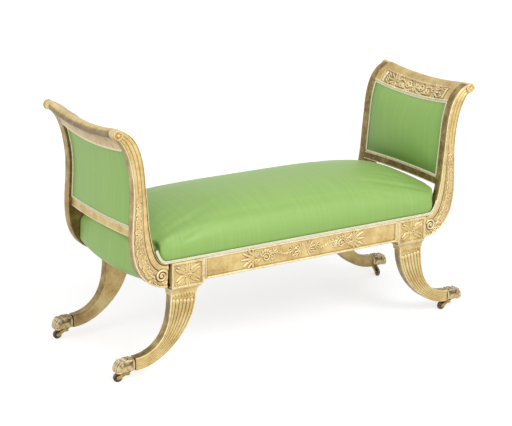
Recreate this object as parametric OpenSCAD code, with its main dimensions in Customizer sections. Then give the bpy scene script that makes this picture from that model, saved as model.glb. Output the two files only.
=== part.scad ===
// Window seat with scrolled ends, reeded sabre legs, lion paw castors and a
// stuffed seat. X runs along the seat, the front faces -Y and Z is up. The
// origin lies on the floor under the middle of the seat. Sizes are in mm.

/* [Seat frame] */
// Length of the front and back rails between the corner blocks
rail_len = 776; // [640:1:1000]
// Depth of the frame over the faces of the corner blocks
frame_d = 504; // [440:1:600]
// Height of the top of the rails above the floor
rail_top_z = 370; // [350:1:400]
// Height of the front and back rails
rail_h = 73; // [60:1:80]
// Thickness of the front and back rails
rail_t = 32; // [26:1:40]
// How far the rail face stands behind the block face
rail_setback = 5; // [3:0.5:8]
// Width of the upright fillet at each end of a rail
fillet_w = 13; // [8:1:20]
// How far that fillet stands in front of the rail face
fillet_rise = 2.5; // [1:0.5:3]
// Radius of the bead along the bottom of a rail
bead_r = 4; // [3:0.5:5]
// Length of the tenon at each end of a rail
tenon_len = 24; // [15:1:35]
// Thickness of those tenons
tenon_t = 14; // [10:1:18]

/* [Corner blocks] */
// Width of a corner block along the seat
block_w = 114; // [100:1:130]
// Height of a corner block
block_h = 84; // [78:1:92]
// Thickness of a corner block from face to back
block_d = 50; // [44:1:60]
// Width of the raised border round the carved panel
border_w = 6; // [4:0.5:10]
// Depth of the carved panel behind its border
panel_sink = 3; // [1:0.5:5]
// Radius of the flower in the middle of the carved panel
flower_r = 30; // [20:1:32]
// Number of petals of that flower
petals = 10; // [6:1:14]

/* [Legs] */
// Width of a leg under its cap
leg_top_w = 93; // [80:1:100]
// Height of a leg's section where it enters the paw
leg_end_w = 41; // [36:1:46]
// Thickness of a leg from front to back
leg_t = 36; // [30:1:42]
// How far the leg stands behind the block face
leg_setback = 14; // [10:1:18]
// How far the paw joint stands out beyond the corner block
leg_reach = 124; // [100:1:150]
// Height of the moulded cap at the top of a leg
cap_h = 14; // [10:1:18]
// How far the cap stands out round the leg
cap_out = 5; // [3:0.5:8]
// Number of reeds down the outer face of a leg
leg_reeds = 6; // [4:1:8]

/* [Scrolled ends] */
// Height of an end upright where it leaves the corner block
foot_w = 78; // [66:1:80]
// Width of an end upright at its waist
waist_w = 42; // [36:1:48]
// Thickness of an end upright from front to back
stile_t = 33; // [28:1:38]
// How far an end upright stands behind the block face
stile_setback = 12; // [8:1:16]
// How far the upright's middle line stands out beyond the block
stile_out = 102; // [90:1:115]
// Height of that point above the top of the rails
stile_mid_h = 148; // [130:1:170]
// How far the top roll stands out beyond the block
roll_out = 179; // [160:1:195]
// Height of the middle of the top roll above the rails
roll_h = 432; // [390:1:470]
// Radius of the top roll
roll_r = 15; // [12:0.5:17]
// Radius of the turned flower at each end of the roll
boss_r = 18; // [16:0.5:20]
// Radius of the carved scroll at the foot of an upright
volute_r = 25; // [18:1:28]
// Drop of the crest in the middle of its length
crest_dip = 15; // [5:1:25]
// Height of the crest from its lower edge to the middle of the roll
crest_h = 53; // [45:1:65]
// Height of the lower cross rail
cross_h = 29; // [22:1:36]
// Gap in height between the seat rails' top and the lower cross rail
cross_lift = 93; // [85:1:110]
// How far the lower cross rail bows outwards
cross_bow = 12; // [0:1:15]

/* [Upholstery] */
// Height of the crown of the seat above the rails
seat_crown = 142; // [90:1:150]
// How far the end panels swell
panel_crown = 14; // [6:1:20]
// Width of the braid round the seat
seat_braid_w = 10; // [7:0.5:12]
// Width of the braid round the end panels
panel_braid_w = 7; // [5:0.5:9]
// Thickness of the braid
braid_t = 1.6; // [1:0.1:2.5]

/* [Castors] */
// Radius of a castor wheel
wheel_r = 15; // [11:0.5:16]
// Width of a castor wheel
wheel_w = 11; // [9:0.5:13]
// Radius of the axle
axle_r = 2.5; // [2:0.1:3]
// Radius of the upright swivel pin
pivot_r = 4; // [3.5:0.1:5]
// How far the wheel trails behind the swivel pin
trail = 32; // [25:1:34]
// Running clearance of the axle and the swivel pin, on the radius
run_gap = 0.05; // [0.02:0.01:0.1]

/* [Hidden] */
$fn = 48;

// Colours of the finishes
gold = [0.83, 0.70, 0.42];
pale_wood = [0.72, 0.56, 0.38];
silk = [0.55, 0.74, 0.42];
braid = [0.90, 0.90, 0.76];
canvas = [0.62, 0.55, 0.42];
brass = [0.62, 0.50, 0.28];
iron = [0.22, 0.18, 0.17];

// One overrun for every cut, and the gaps between pieces that only lie close
cut = 1;
seat_gap = 0.3;
joint_gap = 0.1;

// Faces of the frame, from the middle outwards
block_in_x = rail_len / 2;
block_out_x = block_in_x + block_w;
block_y = frame_d / 2;
block_back_y = block_y - block_d;
block_z = rail_top_z - block_h;
rail_y = block_y - rail_setback;
rail_z = rail_top_z - rail_h;
stile_y = block_y - stile_setback;
span_y = stile_y - stile_t;

// General helpers

function mix(a, b, t) = a + (b - a) * t;
function spread(a, b, n) = [for (i = [0 : n]) mix(a, b, i / n)];
function unit(v) = v / norm(v);
function total(v) = v * [for (x = v) 1];

// Point and direction on a cubic curve with four control points
function curve(c, t) =
    c[0] * pow(1 - t, 3) + c[1] * 3 * t * pow(1 - t, 2)
    + c[2] * 3 * t * t * (1 - t) + c[3] * pow(t, 3);
function curve_way(c, t) =
    (c[1] - c[0]) * 3 * pow(1 - t, 2) + (c[2] - c[1]) * 6 * t * (1 - t)
    + (c[3] - c[2]) * 3 * t * t;

// Smooth value through evenly spaced knots, with x counted in knots
function knot(list, i) = list[min(max(i, 0), len(list) - 1)];
function smooth(list, x) =
    let (i = min(floor(x), len(list) - 2), t = x - i,
         a = knot(list, i - 1), b = knot(list, i),
         c = knot(list, i + 1), d = knot(list, i + 2))
    b + t * ((c - a) / 2 + t * (a - 2.5 * b + 2 * c - d / 2
        + t * (1.5 * (b - c) + (d - a) / 2)));

// Faces between rings of points, joined end to end or closed by an end face at
// each end. An end face comes as outlines that can be cut from their first point.
function backwards(f) = [for (i = [len(f) - 1 : -1 : 0]) f[i]];
function ring_faces(n, m, closed, ends) = concat(
    [for (i = [0 : n - (closed ? 1 : 2)], j = [0 : m - 1])
        let (k = (i + 1) % n, l = (j + 1) % m)
        each [[i * m + j, i * m + l, k * m + l], [i * m + j, k * m + l, k * m + j]]],
    closed ? [] : [for (f = ends) each [backwards(f), [for (j = f) (n - 1) * m + j]]]);

// Six times the signed volume inside a set of faces
function signed_volume(points, faces) = total([
    for (f = faces)
        total([for (i = [1 : len(f) - 2])
            points[f[0]] * cross(points[f[i]], points[f[i + 1]])])]);

// Solid skin over rings of points, wound whichever way encloses the solid
module loft(rings, closed = false, ends = []) {
    m = len(rings[0]);
    points = [for (r = rings) each r];
    faces = ring_faces(len(rings), m, closed, len(ends) > 0 ? ends : [[for (j = [0 : m - 1]) j]]);
    turned = signed_volume(points, faces) > 0;
    polyhedron(points, turned ? [for (f = faces) backwards(f)] : faces);
}

// Front right quarter, mirrored into place
module corner(left, back) {
    mirror([left ? 1 : 0, 0, 0]) mirror([0, back ? 1 : 0, 0]) children();
}

// A flat outline in X and Z, extruded from y0 to y1
module slab(y0, y1) {
    translate([0, y1, 0]) rotate([90, 0, 0]) linear_extrude(y1 - y0) children();
}

// Heights of the castor and the paw, from the floor up
plate_t = 1.5;
wheel_top_gap = 2.5;
sole_z = 2 * wheel_r + wheel_top_gap;
paw_lip = 1.5;

// The middle line of a leg, from under its cap to the paw joint
leg_edge = 3;
leg_pull_share = 0.62;
leg_end_share = 0.5;
leg_ease = 1.2;
leg_x0 = block_out_x - leg_edge - leg_top_w / 2;
leg_z0 = block_z - cap_h;
leg_x1 = block_out_x + leg_reach;
leg_z1 = sole_z + paw_lip + leg_end_w / 2;
leg_y = block_y - leg_setback;
leg_mid_y = leg_y - leg_t / 2;
leg_line = [
    [leg_x0, leg_z0], [leg_x0, mix(leg_z0, leg_z1, leg_pull_share)],
    [mix(leg_x1, leg_x0, leg_end_share), leg_z1], [leg_x1, leg_z1]];

// Width of a leg, from how far down its middle line has come
function leg_w(z) =
    let (fall = (leg_z0 - z) / (leg_z0 - leg_z1))
    mix(leg_end_w, leg_top_w, (1 + cos(180 * pow(fall, leg_ease))) / 2);

// Across a reeded face: shares from -0.5 to 0.5 and the depth of the hollow
reed_cuts = 4;
reed_deep_share = 0.16;
function reed_share(i, reeds) = i / (reeds * reed_cuts) - 0.5;
function reed_hollow(i) = 1 - abs(sin(180 * i / reed_cuts));

// One section of a reeded bar: reeds on the outer face, plain round the back
back_shares = [[0.5, 0, 1], [0.5, 1, 0], [-0.5, 1, 0], [-0.5, 0, 1]];
function reeded_ring(mid, across, w, y_face, y_back, reeds, deep, round_r) = concat(
    [for (i = [0 : reeds * reed_cuts])
        let (s = reed_share(i, reeds) * w, at = mid + across * s)
        [at[0], -(y_face - deep * reed_hollow(i)), at[1]]],
    [for (e = back_shares)
        let (at = mid + across * (e[0] * w - sign(e[0]) * e[1] * round_r))
        [at[0], -(y_back + e[2] * round_r), at[1]]]);
function reeded_ends(reeds) =
    let (n = reeds * reed_cuts, half = n / 2)
    [concat([n + 3, n + 4], [for (j = [0 : half]) j]), [n + 3, half, n + 2],
        concat([n + 2], [for (j = [half : n + 1]) j])];

// Middle line of an end upright: a foot curve, then the flare to the roll
foot_pull = 75;
mid_pull = 130;
flare_pull = 140;
roll_pull = 75;
roll_angle = 20;
foot_z = rail_top_z - (block_h - foot_w) / 4 - foot_w / 2;
mid_x = block_out_x + stile_out;
mid_z = rail_top_z + stile_mid_h;
roll_x = block_out_x + roll_out;
roll_z = rail_top_z + roll_h;
foot_line = [
    [block_out_x, foot_z], [block_out_x + foot_pull, foot_z],
    [mid_x, mid_z - mid_pull], [mid_x, mid_z]];
flare_line = [
    [mid_x, mid_z], [mid_x, mid_z + flare_pull],
    [roll_x - roll_pull * cos(roll_angle), roll_z - roll_pull * sin(roll_angle)],
    [roll_x, roll_z]];

// Along the upright p runs from 0 at the foot to 1 at mid height and 2 at the roll
function line_at(p) = p <= 1 ? curve(foot_line, p) : curve(flare_line, p - 1);
function line_way(p) = p <= 1 ? curve_way(foot_line, p) : curve_way(flare_line, p - 1);
function line_out(p) = let (w = unit(line_way(p))) [w[1], -w[0]];
foot_shares = [1, 0.95, 0.92, 0.76, 0.35, 0, 0, 0, 0];
roll_shares = [0, 0, 0, 0, 0, 0, -0.1, 0.05, 1];
line_knots = 4;
stub_out = 1;
function stile_w(p) = waist_w
    + (foot_w - waist_w) * smooth(foot_shares, p * line_knots)
    + (2 * roll_r - stub_out - waist_w) * smooth(roll_shares, p * line_knots);
function edge_in(p, inset = 0) = line_at(p) - line_out(p) * (stile_w(p) / 2 - inset);
function edge_out(p, inset = 0) = line_at(p) + line_out(p) * (stile_w(p) / 2 - inset);

// The place on the middle line that has a given height, by halving
halvings = 24;
function p_at(z, lo = 0, hi = 2, n = halvings) =
    let (p = (lo + hi) / 2)
    n == 0 ? p : line_at(p)[1] < z ? p_at(z, p, hi, n - 1) : p_at(z, lo, p, n - 1);
function p_step(p, length) = p + length / norm(line_way(p));

// Bands of an end between its uprights
cross_z = rail_top_z + cross_lift;
p_cross0 = p_at(cross_z);
p_cross1 = p_at(cross_z + cross_h);
p_crest = p_at(roll_z - crest_h);
crest_bow = 5;

// A point of an end: p up the line, out from it, and y across. The crest dips
// and the lower rail bows, both fading to nothing at the uprights.
function swell(y) = 1 - pow(y / span_y, 2);
function end_point(p, out, y) =
    let (k = min(max((p - p_cross1) / (p_crest - p_cross1), 0), 1),
         at = line_at(p) + line_out(p) * out
            + [mix(cross_bow, crest_bow, k), -crest_dip * k] * swell(y))
    [at[0], y, at[1]];

// Every piece of an end has its sections at the same places, so that pieces lie
// evenly against each other. The outermost places are the edges of the braid.
end_steps = 9;
pad_half = span_y - seat_gap;
rim = panel_braid_w + seat_gap;
end_posts = spread(rim - pad_half, pad_half - rim, end_steps);
function end_ys(half) = concat([-half], end_posts, [half]);

// Seat frame

// The dust cloth under the seat lies in a shallow rebate along the back of each rail
cloth_t = 1;
cloth_half_y = rail_y - rail_t / 2;
module cloth_rebate() {
    translate([-block_in_x - cut, -cloth_half_y - joint_gap, rail_z - cut])
        cube([2 * (block_in_x + cut), 2 * (cloth_half_y + joint_gap), cloth_t + cut]);
}

module rail_front() {
    half = block_in_x;
    difference() {
        union() {
            translate([-half, -rail_y, rail_z]) cube([2 * half, rail_t, rail_h]);
            for (x = [-half, half - fillet_w])
                translate([x, -rail_y - fillet_rise, rail_z]) cube([fillet_w, rail_t, rail_h]);
            translate([-half, -rail_y, rail_z + bead_r])
                rotate([0, 90, 0]) cylinder(r = bead_r, h = 2 * half);
            translate([-half - tenon_len, -rail_y + (rail_t - tenon_t) / 2, rail_z + tenon_t / 2])
                cube([2 * (half + tenon_len), tenon_t, rail_h - tenon_t]);
        }
        cross_slot(joint_gap);
        cloth_rebate();
    }
}

module front_rail() { color(gold) rail_front(); }
module back_rail() { color(gold) mirror([0, 1, 0]) rail_front(); }

// The middle stretcher is notched into both rails from below
cross_rail_w = 60;
cross_rail_h = 28;
cross_rail_lift = 6;
module cross_slot(gap) {
    reach = rail_y - rail_t + tenon_t;
    translate([-cross_rail_w / 2 - gap, -reach - gap, rail_z + cross_rail_lift - gap])
        cube([cross_rail_w + 2 * gap, 2 * (reach + gap), cross_rail_h + 2 * gap]);
}
module cross_rail() { color(pale_wood) cross_slot(0); }

// A petal: a pointed leaf from the middle of the flower outwards
petal_steps = 6;
petal_wide_share = 0.17;
petal_ease = 1.3;
function petal_half(t) = flower_r * petal_wide_share * sin(180 * pow(t, petal_ease));
module petal() {
    polygon(concat(
        [for (i = [0 : petal_steps]) let (t = i / petal_steps) [flower_r * t, petal_half(t)]],
        [for (i = [petal_steps - 1 : -1 : 1])
            let (t = i / petal_steps) [flower_r * t, -petal_half(t)]]));
}

module block() {
    face = block_w - 2 * border_w;
    tall = block_h - 2 * border_w;
    difference() {
        translate([block_in_x, -block_y, block_z]) cube([block_w, block_d, block_h]);
        translate([block_in_x + border_w, -block_y - cut, block_z + border_w])
            cube([face, panel_sink + cut, tall]);
        translate([block_in_x - cut, -rail_y + (rail_t - tenon_t) / 2 - joint_gap,
                rail_z + tenon_t / 2 - joint_gap])
            cube([tenon_len + cut + joint_gap, tenon_t + 2 * joint_gap,
                rail_h - tenon_t + 2 * joint_gap]);
        for (x = dowel_xs)
            translate([x, -leg_mid_y, block_z - cut])
                cylinder(r = dowel_r + joint_gap, h = dowel_up + cut + joint_gap);
        screw_holes();
    }
    translate([block_in_x + block_w / 2, -block_y + panel_sink, block_z + block_h / 2])
        rotate([90, 0, 0]) {
            cylinder(r = flower_r * petal_wide_share, h = panel_sink);
            translate([0, 0, -cut]) linear_extrude(panel_sink / 2 + cut)
                for (i = [0 : petals - 1]) rotate(360 * i / petals) petal();
        }
}

module corner_block(left, back) { color(gold) corner(left, back) block(); }

// Two dowels hold each leg to its block
dowel_r = 6;
dowel_up = 34;
dowel_down = 12;
dowel_xs = [leg_x0 - leg_top_w / 4, leg_x0 + leg_top_w / 4];
module leg_dowels() {
    color(pale_wood)
        for (left = [0, 1], back = [0, 1], x = dowel_xs)
            corner(left, back)
                translate([x, -leg_mid_y, block_z - dowel_down])
                    cylinder(r = dowel_r, h = dowel_down + dowel_up);
}

// The sabre leg: a reeded loft that sweeps out and narrows into the paw
leg_steps = 20;
leg_round = 3;
leg_tenon = [26, 20, 22];
cap_back = 1.5;
module leg_body() {
    loft([for (i = [0 : leg_steps])
        let (t = i / leg_steps, mid = curve(leg_line, t), way = unit(curve_way(leg_line, t)),
             w = leg_w(mid[1]))
        reeded_ring(mid, [-way[1], way[0]], w, leg_y, leg_y - leg_t,
            leg_reeds, w / leg_reeds * reed_deep_share, leg_round)],
        ends = reeded_ends(leg_reeds));
}

// One step of the cap, standing out all round the top of the leg
module cap_step(z, tall, out) {
    translate([leg_x0 - leg_top_w / 2 - out, -leg_y - out, z])
        cube([leg_top_w + 2 * out, leg_t + out + cap_back, tall]);
}

module leg_solid() {
    step = cap_h / 2;
    difference() {
        union() {
            leg_body();
            cap_step(leg_z0 - cap_back, step + cap_back, cap_out / 2);
            cap_step(leg_z0 + step, step, cap_out);
            translate([leg_x1 - cut, -leg_mid_y - leg_tenon[1] / 2, leg_z1 - leg_tenon[2] / 2])
                cube([leg_tenon[0] + cut, leg_tenon[1], leg_tenon[2]]);
        }
        for (x = dowel_xs)
            translate([x, -leg_mid_y, block_z - dowel_down - joint_gap])
                cylinder(r = dowel_r + joint_gap, h = dowel_down + joint_gap + cut);
    }
}

module leg(left, back) { color(gold) corner(left, back) leg_solid(); }

// Corner braces glued and screwed behind the blocks, on top of the dust cloth
brace_z = rail_z + cloth_t;
brace_w = 60;
brace_h = 40;
brace_t = 10;
screw_r = 2.5;
screw_head_r = 5;
screw_len = 30;
screw_head_t = 3;
module brace_outline() {
    polygon([[0, 0], [brace_w, 0], [brace_w, brace_t], [brace_w / 2, brace_t],
        [brace_t, brace_w / 2], [brace_t, brace_w], [0, brace_w]]);
}
module screw_places() {
    for (z = [brace_h / 4, brace_h * 3 / 4])
        translate([block_out_x - brace_w * 3 / 4, -block_back_y + brace_t, brace_z + z])
            rotate([90, 0, 0]) children();
}
module screw_holes() {
    screw_places() cylinder(r = screw_r + joint_gap, h = screw_len + joint_gap);
}

// End frames

stile_steps = 26;
stile_reeds = 3;
stile_round = 3;
reed_fade_share = 0.85;
reed_full_share = 1.15;
stile_deep_share = 0.17;
foot_deep_share = 0.06;
volute_rise = 4;
volute_turns = 1.75;
volute_steps = 28;
volute_band_share = 0.24;
volute_gap = 9;
volute_x = block_out_x + volute_r + volute_gap;
volute_z = foot_z + foot_w / 16;
volute_start = 120;
volute_thin_share = 0.7;

// Outline of the scroll: out along one edge of the band and back along the other
function scroll_r(t) = volute_r * mix(1, volute_band_share, t);
function scroll_at(t, r) = let (a = volute_start - 360 * volute_turns * t) [r * cos(a), r * sin(a)];
module scroll_outline() {
    band = volute_r * volute_band_share;
    polygon(concat(
        [for (i = [0 : volute_steps]) let (t = i / volute_steps) scroll_at(t, scroll_r(t))],
        [for (i = [volute_steps : -1 : 0])
            let (t = i / volute_steps)
            scroll_at(t, scroll_r(t) - band * mix(1, volute_thin_share, t))]));
}

module stile_body() {
    loft([for (i = [0 : stile_steps])
        let (p = 2 * i / stile_steps, w = stile_w(p),
             fade = mix(foot_deep_share, 1,
                 min(max((p - reed_fade_share) / (reed_full_share - reed_fade_share), 0), 1)))
        reeded_ring(line_at(p), line_out(p), w, stile_y, span_y,
            stile_reeds, w / stile_reeds * stile_deep_share * fade, stile_round)],
        ends = reeded_ends(stile_reeds));
}

module stile_solid() {
    stile_body();
    translate([roll_x, -span_y - stub_out, roll_z])
        rotate([90, 0, 0]) cylinder(r = roll_r, h = stile_t);
    translate([volute_x, -stile_y + cut, volute_z]) rotate([90, 0, 0]) {
        linear_extrude(volute_rise + cut) scroll_outline();
        cylinder(r = volute_r * volute_band_share, h = volute_rise + cut);
    }
}

module stile(left, back) { color(gold) corner(left, back) stile_solid(); }

// Crest: a frieze that follows the uprights' line, with the roll along its top
crest_steps = 5;
roll_steps = 9;
roll_from = 100;
roll_to = -120;
function crest_ring(y) = concat(
    [for (p = spread(p_crest, 2, crest_steps)) end_point(p, -stile_w(p) / 2, y)],
    [for (i = [1 : roll_steps])
        let (a = mix(roll_from, roll_to, i / roll_steps), at = end_point(2, 0, y))
        at + [roll_r * cos(a), 0, roll_r * sin(a)]],
    [for (i = [crest_steps - 1 : -1 : 0])
        let (p = mix(p_crest, 2, i / crest_steps)) end_point(p, stile_w(p) / 2, y)]);

module crest_rail(left) {
    color(gold) corner(left, 0) loft([for (y = end_ys(span_y)) crest_ring(y)]);
}

// Turned flowers that close the ends of both rolls: radius shares, height shares
boss_t = 5;
boss_shares = [
    [0, 0], [1, 0], [1, 0.5], [0.9, 1], [0.75, 1], [0.65, 0.5], [0.4, 0.5], [0.3, 1.4], [0, 1.6]];
module boss() {
    rotate([90, 0, 0]) rotate_extrude()
        polygon([for (s = boss_shares) [boss_r * s[0], boss_t * s[1]]]);
}
module crest_bosses() {
    color(gold)
        for (left = [0, 1], back = [0, 1])
            corner(left, back) translate([roll_x, -stile_y - stub_out, roll_z]) boss();
}

// A solid between two sheets of an end, through the places ps and across to half
module end_sheet(ps, half, inner, outer) {
    loft([for (y = end_ys(half)) concat(
        [for (p = ps) end_point(p, inner(p, y), y)],
        [for (p = backwards(ps)) end_point(p, outer(p, y), y)])]);
}

cover_sink = 12;
rail_face_in = 1;
lower_steps = 2;
module lower_rail(left) {
    color(gold) corner(left, 0)
        end_sheet(spread(p_cross0, p_cross1, lower_steps), span_y,
            function(p, y) rail_face_in - stile_w(p) / 2,
            function(p, y) stile_w(p) / 2 - cover_sink);
}

// Stuffing of an end, from the inner face outwards
pad_sink = 3;
pad_t = 20;
web_t = 2;
cover_t = 6;
cover_crown = 3;
pad_p0 = p_step(p_cross1, seat_gap);
pad_p1 = p_step(p_crest, -seat_gap);
pad_steps = 6;
pad_rows = spread(p_step(pad_p0, rim), p_step(pad_p1, -rim), pad_steps);
pad_ps = concat([pad_p0], pad_rows, [pad_p1]);
swell_ratio = 4;

// How far a panel has swelled, from 0 at its braid to 1 in its middle
function rise(p, y) =
    let (edge = rim + seat_gap, soft = panel_crown * swell_ratio,
         u = min(norm(line_at(p) - line_at(pad_p0)), norm(line_at(p) - line_at(pad_p1))) - edge,
         v = pad_half - abs(y) - edge)
    sqrt(max(min(u / soft, 1), 0)) * sqrt(max(min(v / soft, 1), 0));

module panel_pad(left) {
    color(silk) corner(left, 0)
        end_sheet(pad_ps, pad_half,
            function(p, y) pad_sink - stile_w(p) / 2 - panel_crown * rise(p, y),
            function(p, y) pad_t - stile_w(p) / 2);
}
module panel_webbing(left) {
    color(canvas) corner(left, 0)
        end_sheet(pad_ps, pad_half,
            function(p, y) pad_t + seat_gap - stile_w(p) / 2,
            function(p, y) pad_t + seat_gap + web_t - stile_w(p) / 2);
}
module panel_cover(left) {
    color(silk) corner(left, 0)
        end_sheet(pad_ps, pad_half,
            function(p, y) stile_w(p) / 2 - cover_sink - cover_t,
            function(p, y) stile_w(p) / 2 - cover_sink + cover_crown * rise(p, y));
}

// Braid round a panel: a closed band with mitred corners
function loop_places(inset) =
    let (a = p_step(pad_p0, inset), b = p_step(pad_p1, -inset), h = pad_half - inset)
    concat(
        [for (y = concat([-h], end_posts)) [a, y]], [for (p = concat([a], pad_rows)) [p, h]],
        [for (y = concat([h], backwards(end_posts))) [b, y]],
        [for (p = concat([b], backwards(pad_rows))) [p, -h]]);
module braid_loop(low, high) {
    wide = loop_places(0);
    tight = loop_places(panel_braid_w);
    loft([for (i = [0 : len(wide) - 1])
        [for (e = [[wide, low], [wide, high], [tight, high], [tight, low]])
            let (p = e[0][i][0], y = e[0][i][1]) end_point(p, e[1](p), y)]], true);
}
module inner_gimp(left) {
    color(braid) corner(left, 0)
        braid_loop(function(p) pad_sink - joint_gap - stile_w(p) / 2,
            function(p) pad_sink - joint_gap - braid_t - stile_w(p) / 2);
}
module outer_gimp(left) {
    color(braid) corner(left, 0)
        braid_loop(function(p) stile_w(p) / 2 - cover_sink + joint_gap,
            function(p) stile_w(p) / 2 - cover_sink + joint_gap + braid_t);
}

// Curved rail between the feet of two uprights, under the end of the seat
end_rail_low_share = 0;
end_rail_high_share = 0.38;
end_rail_in = 16;
end_rail_out = 22;
band_steps = 12;
function band(p0, p1, inner, outer) = concat(
    [for (p = spread(p0, p1, band_steps)) edge_in(p, inner)],
    [for (p = spread(p1, p0, band_steps)) edge_out(p, outer)]);
module end_rail(left) {
    color(pale_wood) corner(left, 0)
        slab(-span_y, span_y)
            polygon(band(end_rail_low_share, end_rail_high_share, end_rail_in, end_rail_out));
}

// Stuffed seat

web_z = rail_top_z + web_t;
seat_end_share = 0.86;
stile_clear = 0.8;
seat_end_x = edge_in(seat_end_share)[0] - stile_clear;
seat_side_y = rail_y - braid_t - seat_gap;

// Height of the inner edge of an upright above a given x
function p_inner(x, lo = 0, hi = seat_end_share, n = halvings) =
    let (p = (lo + hi) / 2)
    n == 0 ? p : edge_in(p)[0] < x ? p_inner(x, p, hi, n - 1) : p_inner(x, lo, p, n - 1);
function seat_floor(x) =
    max(web_z + seat_gap, x > block_out_x ? edge_in(p_inner(x))[1] + stile_clear : web_z);

// Section of the seat: depth shares against height shares, from edge to crown
side_shares = [
    [0.986, 0], [0.996, 0.1], [1, 0.24], [0.995, 0.4], [0.975, 0.53], [0.935, 0.64],
    [0.87, 0.73], [0.77, 0.81], [0.62, 0.885], [0.42, 0.95], [0.2, 0.988], [0, 1]];
// Length shares against height shares, from the middle to the end
length_shares = [
    [0, 1], [0.16, 1], [0.32, 0.998], [0.48, 0.993], [0.62, 0.98], [0.74, 0.955],
    [0.83, 0.915], [0.89, 0.865], [0.93, 0.815], [0.965, 0.75], [0.985, 0.7], [1, 0.64]];
function seat_ring(x, high) =
    let (low = seat_floor(abs(x)), top = rail_top_z + seat_crown * high,
         half = [for (s = side_shares) [seat_side_y * s[0], mix(low, top, s[1])]])
    concat([for (q = half) [x, q[0], q[1]]],
        [for (i = [len(half) - 2 : -1 : 0]) [x, -half[i][0], half[i][1]]]);
module seat_cushion() {
    last = len(length_shares) - 1;
    places = concat(
        [for (i = [last : -1 : 1]) [-length_shares[i][0], length_shares[i][1]]], length_shares);
    color(silk) loft([for (q = places) seat_ring(q[0] * seat_end_x, q[1])]);
}

// Stuffed end of the seat: it wraps the end rail between the uprights and
// swells outwards and downwards half-way across
end_sink = 8;
end_drop = 2.5;
end_bulge = 24;
end_face_x = seat_end_x + end_bulge;
end_top_share = 0.55;
end_low_share = 0.02;
end_high_share = 0.42;
end_inner_share = 0.78;
end_top_z = rail_top_z + seat_crown * end_top_share;
end_fold_share = 0.35;
end_turn = 22;
end_turn_steps = 6;
end_cuts = 10;
end_swell_low = 20;
end_swell_high = 10;
end_fade_share = 0.3;
end_fade_steps = 5;
function end_swell(i) = end_swell_low * min(1, end_fade_share + (1 - end_fade_share) * i / end_fade_steps);
function end_outer(k) =
    let (low = edge_out(end_high_share, end_sink - end_swell_low * k),
         face_x = end_face_x + end_swell_high * k)
    concat(
        [for (i = [0 : band_steps])
            edge_out(mix(end_low_share, end_high_share, i / band_steps), end_sink - end_swell(i) * k)],
        [[face_x, mix(low[1], end_top_z, end_fold_share)]],
        [for (i = [0 : end_turn_steps])
            let (a = 90 * i / end_turn_steps)
            [face_x - end_turn * (1 - cos(a)), end_top_z - end_turn * (1 - sin(a))]]);
end_n = band_steps + end_turn_steps + 2;
function end_ring(y) =
    let (f = concat(end_outer(swell(y)),
            [for (p = spread(end_inner_share, end_low_share, end_n)) edge_in(p, end_drop)]))
    [for (q = f) [q[0], y, q[1]]];
end_faces = [for (i = [0 : end_n - 1]) [i, i + 1, 2 * end_n - i, 2 * end_n + 1 - i]];
module end_cover(left) {
    half = span_y - seat_gap;
    color(silk) corner(left, 0) difference() {
        loft([for (i = [0 : end_cuts]) end_ring(mix(-half, half, i / end_cuts))], ends = end_faces);
        slab(-span_y, span_y)
            polygon(band(end_rail_low_share, p_step(end_rail_high_share, seat_gap),
                end_rail_in - seat_gap, end_rail_out - seat_gap));
    }
}

// Braid along the foot of the seat, climbing the inner edge of each upright
gimp_end_share = 0.84;
gimp_steps = 10;
gimp_turn_share = 0.16;
function gimp_edge(inset) = concat(
    [[0, rail_top_z + seat_gap - inset], [block_out_x, rail_top_z + seat_gap - inset]],
    [for (p = spread(gimp_turn_share, gimp_end_share, gimp_steps)) edge_in(p, inset)]);
module gimp_half() {
    low = gimp_edge(-seat_gap);
    high = gimp_edge(-seat_gap - seat_braid_w);
    polygon(concat(low, backwards(high)));
}
module gimp_band() {
    slab(-rail_y, -rail_y + braid_t) union() {
        gimp_half();
        mirror([1, 0]) gimp_half();
    }
}
module seat_gimp_front() { color(braid) gimp_band(); }
module seat_gimp_back() { color(braid) mirror([0, 1, 0]) gimp_band(); }

// Webbing tacked across the top of the rails
web_w = 50;
webs_long = 4;
webs_across = 9;
module seat_webbing() {
    half_x = block_out_x;
    half_y = rail_y - rail_t / 2;
    color(canvas) union() {
        for (i = [0 : webs_long - 1])
            translate([-half_x, mix(-half_y, half_y - web_w, i / (webs_long - 1)), rail_top_z])
                cube([2 * half_x, web_w, web_t]);
        for (i = [0 : webs_across - 1])
            translate([mix(-half_x, half_x - web_w, i / (webs_across - 1)), -half_y, rail_top_z])
                cube([web_w, 2 * half_y, web_t]);
    }
}

// Dust cloth tacked under the rails
module bottom_cloth() {
    end_y = block_back_y - seat_gap;
    color(canvas) union() {
        translate([-block_in_x + seat_gap, -cloth_half_y, rail_z])
            cube([rail_len - 2 * seat_gap, 2 * cloth_half_y, cloth_t]);
        translate([-block_out_x, -end_y, rail_z])
            cube([2 * block_out_x, 2 * end_y, cloth_t]);
    }
}

module corner_braces() {
    color(pale_wood)
        for (left = [0, 1], back = [0, 1])
            corner(left, back) difference() {
                translate([block_out_x, -block_back_y, brace_z])
                    mirror([1, 0, 0]) linear_extrude(brace_h) brace_outline();
                translate([0, cut, 0]) screw_holes();
            }
}
module brace_screws() {
    color(iron)
        for (left = [0, 1], back = [0, 1])
            corner(left, back) screw_places() {
                cylinder(r = screw_r, h = screw_len);
                translate([0, 0, -screw_head_t]) cylinder(r = screw_head_r, h = screw_head_t);
            }
}

// Cast paw that sockets the leg

paw_len = 74;
paw_wall = 2;
toes = 4;
toe_cuts = 4;
paw_steps = 12;
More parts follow.
